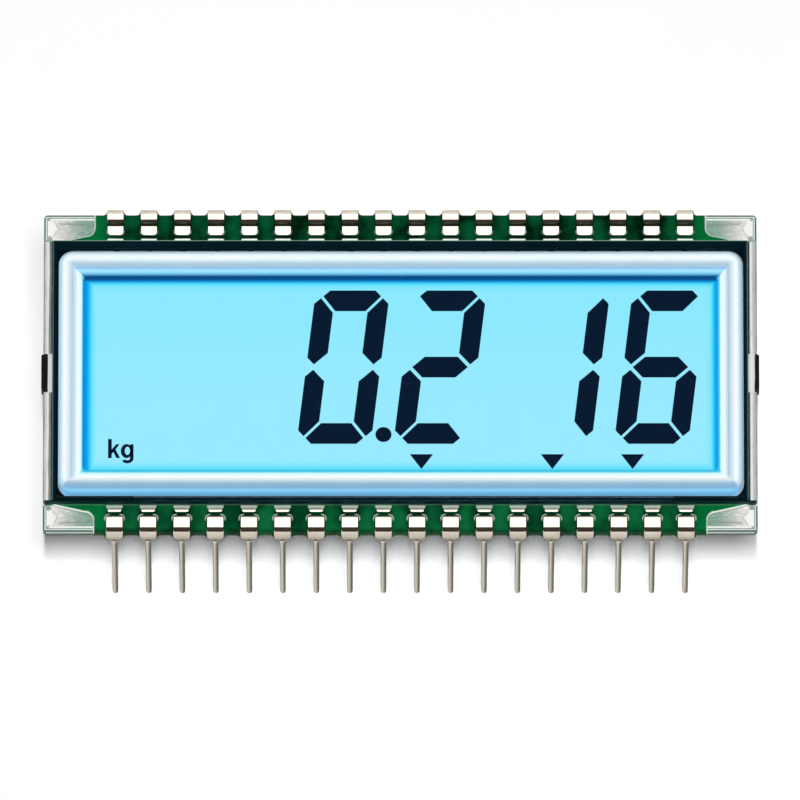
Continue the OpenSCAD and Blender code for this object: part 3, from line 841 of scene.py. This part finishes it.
def strip_grid(lows, place):
    """Depths from a free edge to the front plate, finer at both ends, one row for each place across."""
    quarter = np.radians(np.linspace(0, 90, EDGE_STEPS))
    near = OUTER_RUN * (1 - np.cos(quarter))
    far = place["climb"] * np.sin(quarter)
    shares = np.linspace(0, 1, MIDDLE_STEPS)[1:-1]
    rows = []
    for low in lows:
        start, end = low + near[-1], place["ledge"] - place["climb"]
        if end > start + RESIN_EDGE_R:
            rows.append(np.concatenate([low + near, start + (end - start) * shares, end + far]))
        else:
            rows.append(low + (place["ledge"] - low) * np.linspace(0, 1, len(near) + len(shares) + len(far)))
    return np.array(rows)


def closed_strip(across, depth, height, glint, gloom, skirt):
    """Points, each with its glint and gloom, and faces of a closed strip under a grid of heights."""
    points = []
    for r, x in enumerate(across):
        outer, inner = depth[r, 0], depth[r, -1]
        under = [(inner, 0), (0, 0), (0, -glass_t), (outer, -glass_t)]
        if not skirt:
            under = [(inner, 0), (outer, 0)]
        points += [(x, *values) for values in zip(depth[r], height[r], glint[r], gloom[r])]
        points += [(x, *corner, 0.0, UNDER_GLOOM) for corner in under]
    return points, ring_faces(len(across), len(points) // len(across))


def bead_shape(place):
    """One bead with its two tails, by width, depth from the glass edge and height from the ledge."""
    ledge = place["ledge"]
    across = np.linspace(-bead_half, bead_half, round(2 * bead_half / GRID_MM) + 1)
    depth = strip_grid(outer_edge(across), place)
    wide = np.repeat(across[:, None], depth.shape[1], axis=1)
    end_away = end_distance(np.abs(wide) - bead_half, depth, ledge)
    height = resin_height(wide, depth, depth - depth[:, :1], end_away, place)
    glint, gloom = painted_resin_highlight(wide, depth, end_away, place), resin_gloom(wide, depth, place)
    shapes = [closed_strip(across, depth, height, glint, gloom, True)]
    for side in (-1, 1):
        out = np.linspace(0, tail_l, TAIL_STEPS)[::side]
        hollow = -TAIL_W - END_R + np.sqrt(END_R ** 2 - np.maximum(END_R - out, 0) ** 2)
        depth = strip_grid(ledge + np.where(out < END_R, hollow, tail_line(out)), place)
        beyond = np.repeat(out[:, None], depth.shape[1], axis=1)
        wide = side * (bead_half + beyond)
        end_away = end_distance(beyond, depth, ledge)
        height = resin_height(wide, depth, np.full_like(depth, OUTER_RUN), end_away, place)
        glint, gloom = painted_resin_highlight(wide, depth, end_away, place), np.zeros_like(depth)
        shapes.append(closed_strip(wide[:, 0], depth, height, glint, gloom, False))
    return joined(shapes)


print("resin: grid of", GRID_MM, "mm")

# %% [markdown]
# The cured resin is a clear green body. Painted shade makes it deep and dark beside the metal, round the bare
# tongues and on its outer face, and painted highlights make it pale along its free ends, in arcs round the
# metal, in bars below the tongues and along the front plate's edge. The mesh carries both as shares at its
# points. The ends of a bead, which no clip shades, are painted a lighter green, and the upper bead is painted
# darker than the lower one as painted shade. A coat that grows towards grazing angles gives the wet gloss.

# %% Green resin
def green_resin():
    finish = Finish("green_resin")
    x, y = finish.axes("XY")
    drift = finish.noise((2.2, 3, 3), 2).ease(0.35, 0.65)
    speck = finish.noise(0.25, 3)
    gloom = finish.node("ShaderNodeAttribute", {"attribute_name": "gloom"}, None, "Fac")
    glint = finish.node("ShaderNodeAttribute", {"attribute_name": "glint"}, None, "Fac")
    # Painted shade: the upper bead is darker than the lower one.
    lower = finish.mix(drift, (4, 60, 31), (14, 102, 57))
    upper = finish.mix(drift, (2, 27, 13), (6, 82, 45))
    body = finish.coats(
        finish.mix(y.ease(-1.0, 1.0), lower, upper),
        # Painted light: the free ends, which no clip shades, are a lighter green.
        (abs(x).ease(bead_half - 2.6, bead_half - 0.6) * 0.75, (5, 112, 58)),
        (speck.ease(0.5, 0.8) * 0.25, (12, 102, 57)),
        # Painted shade from the gloom share and painted highlights from the glint share.
        (gloom * 0.8, (0, 24, 11)),
        (glint, (240, 250, 245)),
    )
    grazing = finish.node("ShaderNodeLayerWeight", None, {"Blend": 0.5}, "Facing")
    return finish.solid(
        base_color=body, roughness=0.1 + 0.12 * speck, specular_ior_level=0.0,
        coat_weight=0.14 * grazing.ease(0.15, 0.6), coat_roughness=0.06,
        normal=finish.bump(speck, 0.006, 0.3),
    )


resin = green_resin()

# %% Beads in place
BEAD_SHARP_ANGLE = 60


def bead(name, node, place, turn):
    points, faces = bead_shape(place)
    placed = [(turn * x, turn * (depth - rear_high.y), ledge_z + height) for x, depth, height, *_ in points]
    piece = plain_piece(name, placed, faces, resin, BEAD_SHARP_ANGLE)
    for share, values in zip(("glint", "gloom"), list(zip(*points))[3:]):
        piece.data.attributes.new(share, "FLOAT", "POINT").data.foreach_set("value", list(values))
    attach(piece, "root")
    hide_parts(node)
    print("bead:", name, len(piece.data.polygons), "faces")


bead("upper_bead", "upper_resin_bead", upper_place, -1)
bead("lower_bead", "lower_resin_bead", lower_place, 1)

# %% [markdown]
# The dark bars of the digits and marks are etched in a clear layer on the glass. Their faces would lie in the
# very plane of the glass, where a ray can't tell which comes first, so each layer is copied with faces that
# bite a few microns into the plates. The small unit sign is part of the same layer. Its two letters are drawn
# as a sign painter would, from straight and round strokes, each a flat band of the layer's thickness.

# %% Etched bars
LAYER_BITE = 0.004


def dark_segment():
    finish = Finish("dark_segment")
    colour = finish.mix(finish.noise(0.4, 3), (8, 24, 45), (12, 31, 54))
    colour = finish.mix(finish.noise(8, 1) * 0.3, colour, (6, 20, 40))
    return finish.solid(base_color=colour, roughness=0.6, specular_ior_level=0.0)


segment = dark_segment()
segment_low, segment_high = box_mm("symbol_segments")
layer_middle = MM * (segment_high.z + segment_low.z) / 2


def etched_layer(name, node):
    """A copy of a layer of bars, a little thicker to both sides."""
    mesh = nodes[node].data.copy()
    mesh.transform(nodes[node].matrix_world)
    for vertex in mesh.vertices:
        vertex.co.z += LAYER_BITE * MM * (1 if vertex.co.z > layer_middle else -1)
    mesh.materials.clear()
    mesh.materials.append(segment)
    piece = add_object(name, mesh)
    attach(piece, "root")
    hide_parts(node)
    print("layer:", name, len(mesh.polygons), "faces")


etched_layer("digit_bars", "digit_segments")
etched_layer("mark_bars", "symbol_segments")

# %% Unit sign
SIGN_AT = (-22.09, -7.15)
ARC_STEPS = 24


def arc(centre, radii, start, end):
    """Points along a part of an ellipse, between two angles in degrees."""
    angles = [math.radians(start + (end - start) * k / ARC_STEPS) for k in range(ARC_STEPS + 1)]
    return [(centre[0] + radii[0] * math.cos(a), centre[1] + radii[1] * math.sin(a)) for a in angles]


strokes = {
    "stem of k": ([(0, 0), (0, 1.56)], [(0.28, 0), (0.28, 1.56)]),
    "arm of k": ([(0.25, 0.67), (0.62, 1.13)], [(0.25, 0.3), (0.87, 1.13)]),
    "leg of k": ([(0.55, 0.74), (0.91, 0)], [(0.4, 0.5), (0.64, 0)]),
    "bowl of g": (arc((1.465, 0.59), (0.2, 0.34), 0, 360), arc((1.4, 0.575), (0.435, 0.575), 0, 360)),
    "stem of g": ([(1.665, -0.05), (1.665, 1.13)], [(1.93, -0.05), (1.93, 1.13)]),
    "hook of g": (arc((1.46, -0.03), (0.47, 0.4), 0, -150), arc((1.46, -0.03), (0.205, 0.16), 0, -150)),
}
sign_low, sign_high = segment_low.z - LAYER_BITE, segment_high.z + LAYER_BITE


def stroke_shape(left_side, right_side):
    """A flat band between two lines of points on the sign."""
    points = []
    for (ax, ay), (bx, by) in zip(left_side, right_side):
        left, right = (SIGN_AT[0] + ax, SIGN_AT[1] + ay), (SIGN_AT[0] + bx, SIGN_AT[1] + by)
        points += [(*left, sign_low), (*left, sign_high), (*right, sign_high), (*right, sign_low)]
    return points, ring_faces(len(left_side), 4)


sign = plain_piece("unit_sign", *joined([stroke_shape(*sides) for sides in strokes.values()]), segment)
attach(sign, "root")
print("sign:", len(strokes), "strokes,", len(sign.data.polygons), "faces")

# %% [markdown]
# The two plates are thin soda glass, held between two polarizing films. The whole stack bends the view once
# on the way in and once on the way out, so only the outer faces of the films refract and the plates
# between them are plainly clear. Bare glass at the corners of the ledges and at the short sides catches
# light from the cut edges in streaks and folds, and the plugs show through it. These streaks and folds, and
# the pale lines along the ends of the front plate, are painted on by place as painted light and shade.

# %% Front plate
PLUG_SIGHT = 0.37


def bare_clear(finish):
    """Clear glass with a trace of gloss."""
    share, gloss = finish.sheen(0.0)
    return finish.blend(share, finish.clear(), gloss)


def front_plate():
    finish = Finish("front_plate")
    x, y, z = finish.axes("XYZ")
    on_right, on_top = x.ease(-1.0, 1.0), y.ease(-1.0, 1.0)
    side = (abs(x) - film_high.x) / (glass_half - film_high.x)
    wave = finish.noise((0.3, 3.0, 1.0), 2) - 0.5
    # The side strips are painted light and shade: bright streaks and dark lines across the bare glass.
    left_lines = finish.ramp(side + 0.3 * wave * side.ease(0.0, 0.3), [
        (0.0, (12, 30, 30)), (0.08, (30, 46, 46)), (0.2, (130, 144, 139)), (0.32, (108, 120, 110)),
        (0.44, (236, 239, 234)), (0.75, (208, 211, 207)), (0.92, (148, 153, 150)), (1.0, (126, 134, 130)),
    ])
    right_lines = finish.ramp(side + 0.3 * wave * side.ease(0.3, 0.6), [
        (0.0, (14, 30, 30)), (0.12, (18, 34, 34)), (0.28, (238, 242, 240)), (0.42, (232, 236, 232)),
        (0.56, (196, 202, 196)), (0.84, (176, 180, 176)), (1.0, (118, 126, 122)),
    ])
    mottle = finish.noise((0.12, 0.9, 0.5), 3)
    # Round each plug the strip is painted paler as painted light, and the black plug shows through.
    plug_low, plug_high = box_mm("left_end_plug")
    near_plug = (plug_high.y - y).least(y - plug_low.y + PLUG_SIGHT).ease(-0.04, 0.06)
    on_plug = (side + 0.2 * wave - (0.48 + 0.25 * on_right)).ease(-0.05, 0.05) * near_plug
    # Painted highlight and shade on the plate's ends: a ramp up the foot's end face and a pale line along the
    # upper end.
    wall = finish.ramp((z - front_low.z) / (front_high.z - front_low.z), [
        (0.0, (20, 77, 54)), (0.14, (70, 136, 114)), (0.28, (20, 89, 71)), (0.6, (8, 56, 49)),
        (1.0, (3, 28, 32)),
    ])
    at_end = (y - film_high.y).most(film_low.y - y).ease(0.0, 0.03)
    colour = finish.coats(
        finish.mix(on_right, left_lines, right_lines),
        (mottle.ease(0.55, 0.75) * 0.45, (120, 130, 122)),
        (near_plug * 0.8, (226, 231, 229)),
        (on_plug, (8, 9, 9)),
        (at_end, finish.mix(on_top, wall, (120, 158, 143))),
    )
    painted = finish.skin(base_color=colour, roughness=0.3 + 0.2 * mottle, specular_ior_level=0.06)
    at_side = side.ease(-0.02, 0.02) * 0.92
    return finish.done(finish.blend(at_side.most(at_end), bare_clear(finish), painted))


glass_front = front_plate()

# %% Rear plate
PAINTED_FOLD_MIDDLE = 1.1


def rear_plate():
    finish = Finish("rear_plate")
    x, y, z = finish.axes("XYZ")
    inward, from_edge = glass_half - abs(x), rear_high.y - abs(y)
    fan = finish.noise((0.5, 0.16, 0.5), 3, math.radians(30))
    cloud = finish.noise(0.35, 3) - 0.5
    speckle = finish.noise(0.09, 2)
    # Painted light and shade on the bare ledge corners: white at the outer end, fading to a shaded green
    # inwards.
    body = finish.ramp(inward / (glass_half - bead_half) + 0.16 * cloud * inward.ease(0.3, 0.8), [
        (0.0, (238, 240, 236)), (0.18, (236, 236, 232)), (0.3, (214, 213, 207)),
        (0.5, (184, 190, 183)), (0.72, (132, 160, 146)), (1.0, (104, 148, 127)),
    ])
    # A painted flap of light with painted fold lines, and a painted shade in the nook.
    crossing = abs(from_edge - PAINTED_FOLD_MIDDLE)
    painted_flap_light = inward - (PAINTED_FOLD_MIDDLE - 0.6 * crossing) + 0.25 * cloud
    painted_fold_shade = abs(from_edge - (0.62 + 0.06 * inward)) + 0.15 * cloud
    painted_nook_shade = (inward - 0.42) ** 2 + (crossing - 0.82) ** 2 + 0.08 * (fan - 0.5)
    inset = inward.least(from_edge)
    # Painted highlight and shade up the plate's end faces.
    wall = finish.ramp((z - rear_low.z) / glass_t, [
        (0.0, (38, 62, 52)), (0.3, (62, 88, 76)), (0.5, (150, 168, 160)), (0.75, (206, 219, 213)),
        (0.95, (128, 150, 140)), (1.0, (60, 90, 76)),
    ])
    colour = finish.coats(
        body,
        (speckle.ease(0.5, 0.66) * inward.ease(1.6, 3.2) * 0.5, (178, 208, 193)),
        (fan.ease(0.52, 0.7) * inward.ease(3.4, 1.4) * 0.6, (252, 252, 250)),
        (painted_flap_light.ease(0.1, -0.2) * 0.5, (250, 251, 249)),
        (abs(painted_flap_light).ease(0.12, 0.02) * 0.35, (142, 146, 140)),
        (painted_fold_shade.ease(0.14, 0.02) * inward.ease(1.0, 1.3) * 0.6, (126, 137, 130)),
        (painted_nook_shade.ease(0.07, 0.0) * 0.75, (56, 98, 79)),
        # Pale and dark painted lines along the edges, as painted highlights and shade.
        (abs(from_edge - 0.36).ease(0.09, 0.04) * inward.ease(0.4, 0.5), (240, 246, 242)),
        (inset.ease(0.3, 0.24), (104, 130, 118)),
        (inset.ease(0.24, 0.2), (212, 224, 218)),
        (inset.ease(0.14, 0.1), (66, 96, 83)),
        (from_edge.ease(0.012, 0.004), wall),
    )
    painted = finish.skin(base_color=colour, roughness=0.25 + 0.2 * fan, specular_ior_level=0.2)
    on_ledge = (y - front_high.y).most(front_low.y - y).ease(-0.02, 0.02)
    return finish.done(finish.blend(on_ledge * 0.95, bare_clear(finish), painted))


glass_rear = rear_plate()

# %% [markdown]
# Crossed, the two films look nearly black with a touch of petrol blue wherever no light comes through, and
# clear where the backlight stands behind them. That darkness is painted shade: the rear film is painted dark
# outside the outline of the white border, a little lower at its foot so that the wall there shows, and the
# front film is painted dark along its own edges, both with a painted highlight along their short sides. Lamp
# light and light bounced from matt surfaces pass straight through, so that nothing under the films is lit
# twice.

# %% Films
BORDER_R = 1.15
STACK_IOR = 1.5
EDGE_WIDER_TOP = 0.1
EDGE_WIDER_FOOT = -0.22
REACH_DOWN, REACH_UP, REACH_LEFT, REACH_RIGHT = 0.7, -0.13, -0.05, 0.05

border_low, border_high = box_mm("backlight_frame")


def bending(finish, face):
    """A film that refracts on the face where face is 1, clear on the others and clear to the lamps."""
    sockets = {"Color": tone(255, 255, 255), "Roughness": 0.0, "IOR": STACK_IOR}
    refracted = finish.node("ShaderNodeBsdfRefraction", None, sockets)
    seen = finish.blend(face, finish.clear(), refracted)
    shadow = finish.node("ShaderNodeLightPath", out="Is Shadow Ray")
    scattered = finish.node("ShaderNodeLightPath", out="Is Diffuse Ray")
    return finish.blend(shadow.most(scattered), seen, finish.clear())


def painted_shade_film(finish, x):
    # Painted shade where no light comes through, with a painted highlight along the film's short sides.
    shade = finish.mix(finish.noise(7, 2), (1, 18, 25), (4, 29, 39))
    colour = finish.mix((film_high.x - abs(x)).ease(0.12, 0.06), shade, (78, 96, 100))
    return finish.skin(base_color=colour, roughness=0.45, specular_ior_level=0.01)


def front_film():
    finish = Finish("front_film")
    x, y, z = finish.axes("XYZ")
    from_top, from_foot = film_high.y - y - EDGE_WIDER_TOP, y - film_low.y - EDGE_WIDER_FOOT
    # Painted shade along the film's edges.
    inside = (film_high.x - abs(x)).least(from_foot).least(from_top)
    top_face = (film_high.z - z).ease(0.03, 0.01)
    share, gloss = finish.sheen(0.08)
    body = finish.blend(share * top_face, bending(finish, top_face), gloss)
    return finish.done(finish.blend(inside.ease(0.36, 0.3), body, painted_shade_film(finish, x)))


def rear_film():
    finish = Finish("rear_film")
    x, y, z = finish.axes("XYZ")
    half_w = (border_high.x - border_low.x + REACH_LEFT + REACH_RIGHT) / 2
    half_h = (border_high.y - border_low.y + REACH_DOWN + REACH_UP) / 2
    right = (REACH_RIGHT - REACH_LEFT) / 2
    up = (border_low.y + border_high.y + REACH_UP - REACH_DOWN) / 2
    dx = (abs(x - right) - (half_w - BORDER_R)).most(0.0)
    dy = (abs(y - up) - (half_h - BORDER_R)).most(0.0)
    away = (dx * dx + dy * dy) ** 0.5 - BORDER_R
    under_face = (z - box_mm("rear_polarizer")[0].z).ease(0.03, 0.01)
    body = bending(finish, under_face)
    # Painted shade outside the border's outline.
    return finish.done(finish.blend(away.ease(-0.03, 0.03), body, painted_shade_film(finish, x)))


film_front, film_rear = front_film(), rear_film()

# %% [markdown]
# The border is moulded in milky plastic, and the backlight leaks into it. Its tones are painted light and
# shade: white on the crest of its ridge, lavender on the slopes, blue along its lower foot and its front
# wall, and pale blue on the upper rim. Ramps across each side, from the outer face to the window, hold those
# tones, and the sides meet in mitres. Half of the tone is reflected and half is a painted glow, so it reads
# alike in lamp light and in the dark.

# %% Tones of the border
side_tones = [
    (0.0, (150, 182, 205)), (0.12, (182, 214, 234)), (0.25, (196, 224, 239)), (0.45, (243, 253, 255)),
    (0.62, (244, 253, 255)), (0.85, (222, 235, 244)), (1.04, (208, 226, 240)), (1.17, (194, 213, 230)),
    (1.25, (206, 225, 239)), (1.31, (200, 219, 234)), (1.4, (236, 249, 254)), (1.7, (236, 253, 255)),
    (1.79, (187, 246, 255)), (1.88, (80, 188, 231)),
]
top_tones = [
    (0.0, (166, 194, 210)), (0.15, (176, 205, 221)), (0.3, (206, 229, 243)), (0.5, (243, 254, 255)),
    (0.76, (242, 251, 255)), (0.88, (218, 232, 243)), (1.0, (194, 215, 227)), (1.09, (182, 208, 222)),
    (1.16, (186, 212, 239)), (1.21, (131, 167, 201)), (1.27, (148, 196, 232)), (1.38, (156, 213, 248)),
    (1.5, (170, 227, 255)), (1.62, (140, 212, 248)), (1.74, (104, 182, 226)), (1.88, (24, 98, 154)),
]
foot_tones = [
    (0.0, (141, 203, 249)), (0.1, (136, 192, 234)), (0.25, (131, 176, 214)), (0.42, (144, 180, 210)),
    (0.57, (163, 194, 216)), (0.73, (200, 217, 232)), (0.9, (245, 252, 255)), (1.25, (248, 254, 255)),
    (1.55, (232, 255, 255)), (1.68, (160, 237, 255)), (1.8, (56, 192, 230)), (1.88, (50, 190, 228)),
]
foot_wall_tones = [
    (0.0, (170, 208, 240)), (0.2, (146, 188, 226)), (0.4, (112, 178, 228)), (0.7, (120, 196, 244)),
    (0.95, (150, 216, 255)),
]
print("border: tones for its sides, top and foot")

# %% White border
BORDER_W = 1.88
RIGHT_WIDER = 0.055
FOOT_Z = 8.6
FOOT_H = 1.5


def white_border():
    finish = Finish("white_border")
    x, y, z = finish.axes("XYZ")
    ny = finish.facing("Y")[0]
    from_side = (border_high.x - abs(x)) * (1 + RIGHT_WIDER * x.ease(-1.0, 1.0))
    from_top, from_foot = border_high.y - y, y - border_low.y
    from_level = from_top.least(from_foot)
    dx, dy = (BORDER_R - from_side).most(0.0), (BORDER_R - from_level).most(0.0)
    away = BORDER_R - (dx * dx + dy * dy) ** 0.5 + (from_side.least(from_level) - BORDER_R).most(0.0)
    side, top, foot = [finish.ramp(away, tones, BORDER_W) for tones in (side_tones, top_tones, foot_tones)]
    foot_wall = finish.ramp((z - FOOT_Z) / FOOT_H, foot_wall_tones)
    # Painted light and shade: ramps by side, top and foot, and blue on the foot's front wall.
    colour = finish.coats(
        side,
        ((from_side - from_top).ease(-0.1, 0.1), top),
        ((from_side.least(from_top) - from_foot).ease(-0.3, 0.3), foot),
        (ny.ease(-0.6, -0.9) * from_foot.ease(0.3, 0.05), foot_wall),
    )
    grain = finish.noise(0.6, 3)
    # Half the tone is reflected and half is a painted glow.
    return finish.solid(
        base_color=finish.mix(0.5, colour, (0, 0, 0)), roughness=0.4 + 0.15 * grain,
        emission_color=colour, emission_strength=0.5,
        specular_ior_level=0.0, normal=finish.bump(grain, 0.004, 0.15),
    )


border = white_border()

# %% [markdown]
# The window behind the digits is a diffuser sheet that glows in an even cyan. Where the border's rim shades
# its edges the colour falls to a deep blue, most along the top, less at the sides and least at the foot.

# %% Lit sheet
RIM_LAP = 0.5
RIM_SHADE = 1.6


def lit_sheet():
    finish = Finish("lit_sheet")
    x, y = finish.axes("XY")
    low, high = box_mm("diffuser_sheet")
    right, top, bottom = high.x - RIM_LAP, high.y - RIM_LAP, low.y + RIM_LAP
    colour = finish.mix(((y - bottom) / (top - bottom)).ease(0.3, 1.0), (152, 233, 253), (138, 231, 253))
    colour = finish.mix(finish.noise(0.5, 3) * 0.1, colour, (158, 237, 255))
    for gap, stops in (
        (top - y, [(0.17, (0, 70, 130)), (0.31, (0, 112, 183)), (0.45, (29, 176, 234)),
                   (0.6, (84, 220, 254)), (0.8, (119, 229, 255)), (1.1, (138, 231, 254))]),
        (x + right, [(0.2, (0, 142, 224)), (0.42, (14, 175, 247)), (0.57, (63, 210, 253)),
                     (0.73, (107, 226, 255)), (0.95, (140, 231, 254))]),
        (right - x, [(0.12, (2, 160, 232)), (0.27, (13, 184, 246)), (0.41, (78, 217, 252)),
                     (0.57, (125, 230, 254)), (0.9, (147, 233, 254))]),
        (y - bottom, [(0.0, (49, 189, 226)), (0.2, (91, 222, 254)), (0.53, (131, 229, 254)),
                      (0.8, (150, 233, 254))]),
    ):
        shade = finish.ramp(gap, [*stops, (RIM_SHADE, (200, 250, 255))], RIM_SHADE)
        colour = finish.mix(1.0, colour, shade, "DARKEN")
    return finish.solid(
        base_color=tone(10, 24, 30), roughness=0.6, specular_ior_level=0.0,
        emission_color=colour, emission_strength=1.0,
    )


lit = lit_sheet()

# %% [markdown]
# What is left is small: the milky seal between the plates, the black plugs over the fill ports, the fluid
# and its clear electrode, and the back of the display with its reflector, board, lamps and light guide.

# %% Seal, plugs and cell
def edge_seal():
    finish = Finish("edge_seal")
    beyond_film = abs(finish.axes("X")[0]) - film_high.x
    lines = finish.noise((0.1, 2.5, 2.5), 3)
    milky = finish.mix(lines.ease(0.3, 0.7), (120, 126, 122), (235, 238, 235))
    # Painted shade: under the film the seal takes the films' dark tone, and beyond it the seal is milky.
    colour = finish.mix(beyond_film.ease(-0.02, 0.02), (3, 24, 31), milky)
    return finish.solid(base_color=colour, roughness=0.5, specular_ior_level=0.2)


def black_plug():
    finish = Finish("black_plug")
    lump = finish.noise(0.3, 3)
    return finish.solid(
        base_color=finish.mix(lump, (6, 6, 7), (22, 23, 24)), roughness=0.4 + 0.3 * lump,
        normal=finish.bump(lump, 0.03, 0.4), specular_ior_level=0.04,
    )


def thin_layer(name, tint):
    """A layer that is all but invisible, with a trace of colour that comes and goes."""
    finish = Finish(name)
    return finish.done(finish.blend(finish.noise(2, 1), finish.clear(), finish.clear(tint)))


seal, plug = edge_seal(), black_plug()
fluid, conductor = thin_layer("cell_fluid", (253, 255, 255)), thin_layer("clear_electrode", (255, 255, 253))

# %% Back of the display
def speckled(name, first, second, grain_mm, roughness, depth):
    """A plain moulded or laminated stuff with a fine grain in its colour and surface."""
    finish = Finish(name)
    grain = finish.noise(grain_mm, 4)
    return finish.solid(
        base_color=finish.mix(grain.ease(0.3, 0.7), first, second), roughness=roughness + 0.15 * grain,
        normal=finish.bump(grain, depth, 0.4),
    )


guide = speckled("clear_guide", (190, 228, 240), (214, 240, 248), 0.8, 0.1, 0.004)
reflector = speckled("white_reflector", (226, 227, 230), (240, 241, 243), 0.35, 0.4, 0.01)
laminate = speckled("board_laminate", (20, 92, 58), (30, 112, 70), 0.3, 0.4, 0.01)
lamp_skin = speckled("lamp_body", (238, 234, 206), (250, 247, 226), 0.3, 0.35, 0.006)

# %% [markdown]
# Every solid that stays from the frame takes its finish here. The meshes are left as they are: only the
# material slot changes.

# %% Finishes on the solids
finishes = {
    "rear_glass": glass_rear, "front_glass": glass_front, "perimeter_seal": seal,
    "left_end_plug": plug, "right_end_plug": plug, "liquid_crystal": fluid, "common_electrode": conductor,
    "front_polarizer": film_front, "rear_polarizer": film_rear, "backlight_frame": border,
    "diffuser_sheet": lit, "light_guide": guide, "reflector_sheet": reflector, "lamp_board": laminate,
    "upper_terminal": plated, "lower_terminal": plated,
    "lamp_01": lamp_skin, "lamp_02": lamp_skin, "lamp_03": lamp_skin,
}
for name, material in finishes.items():
    nodes[name].data.materials.clear()
    nodes[name].data.materials.append(material)
print("finishes on", len(finishes), "solids")
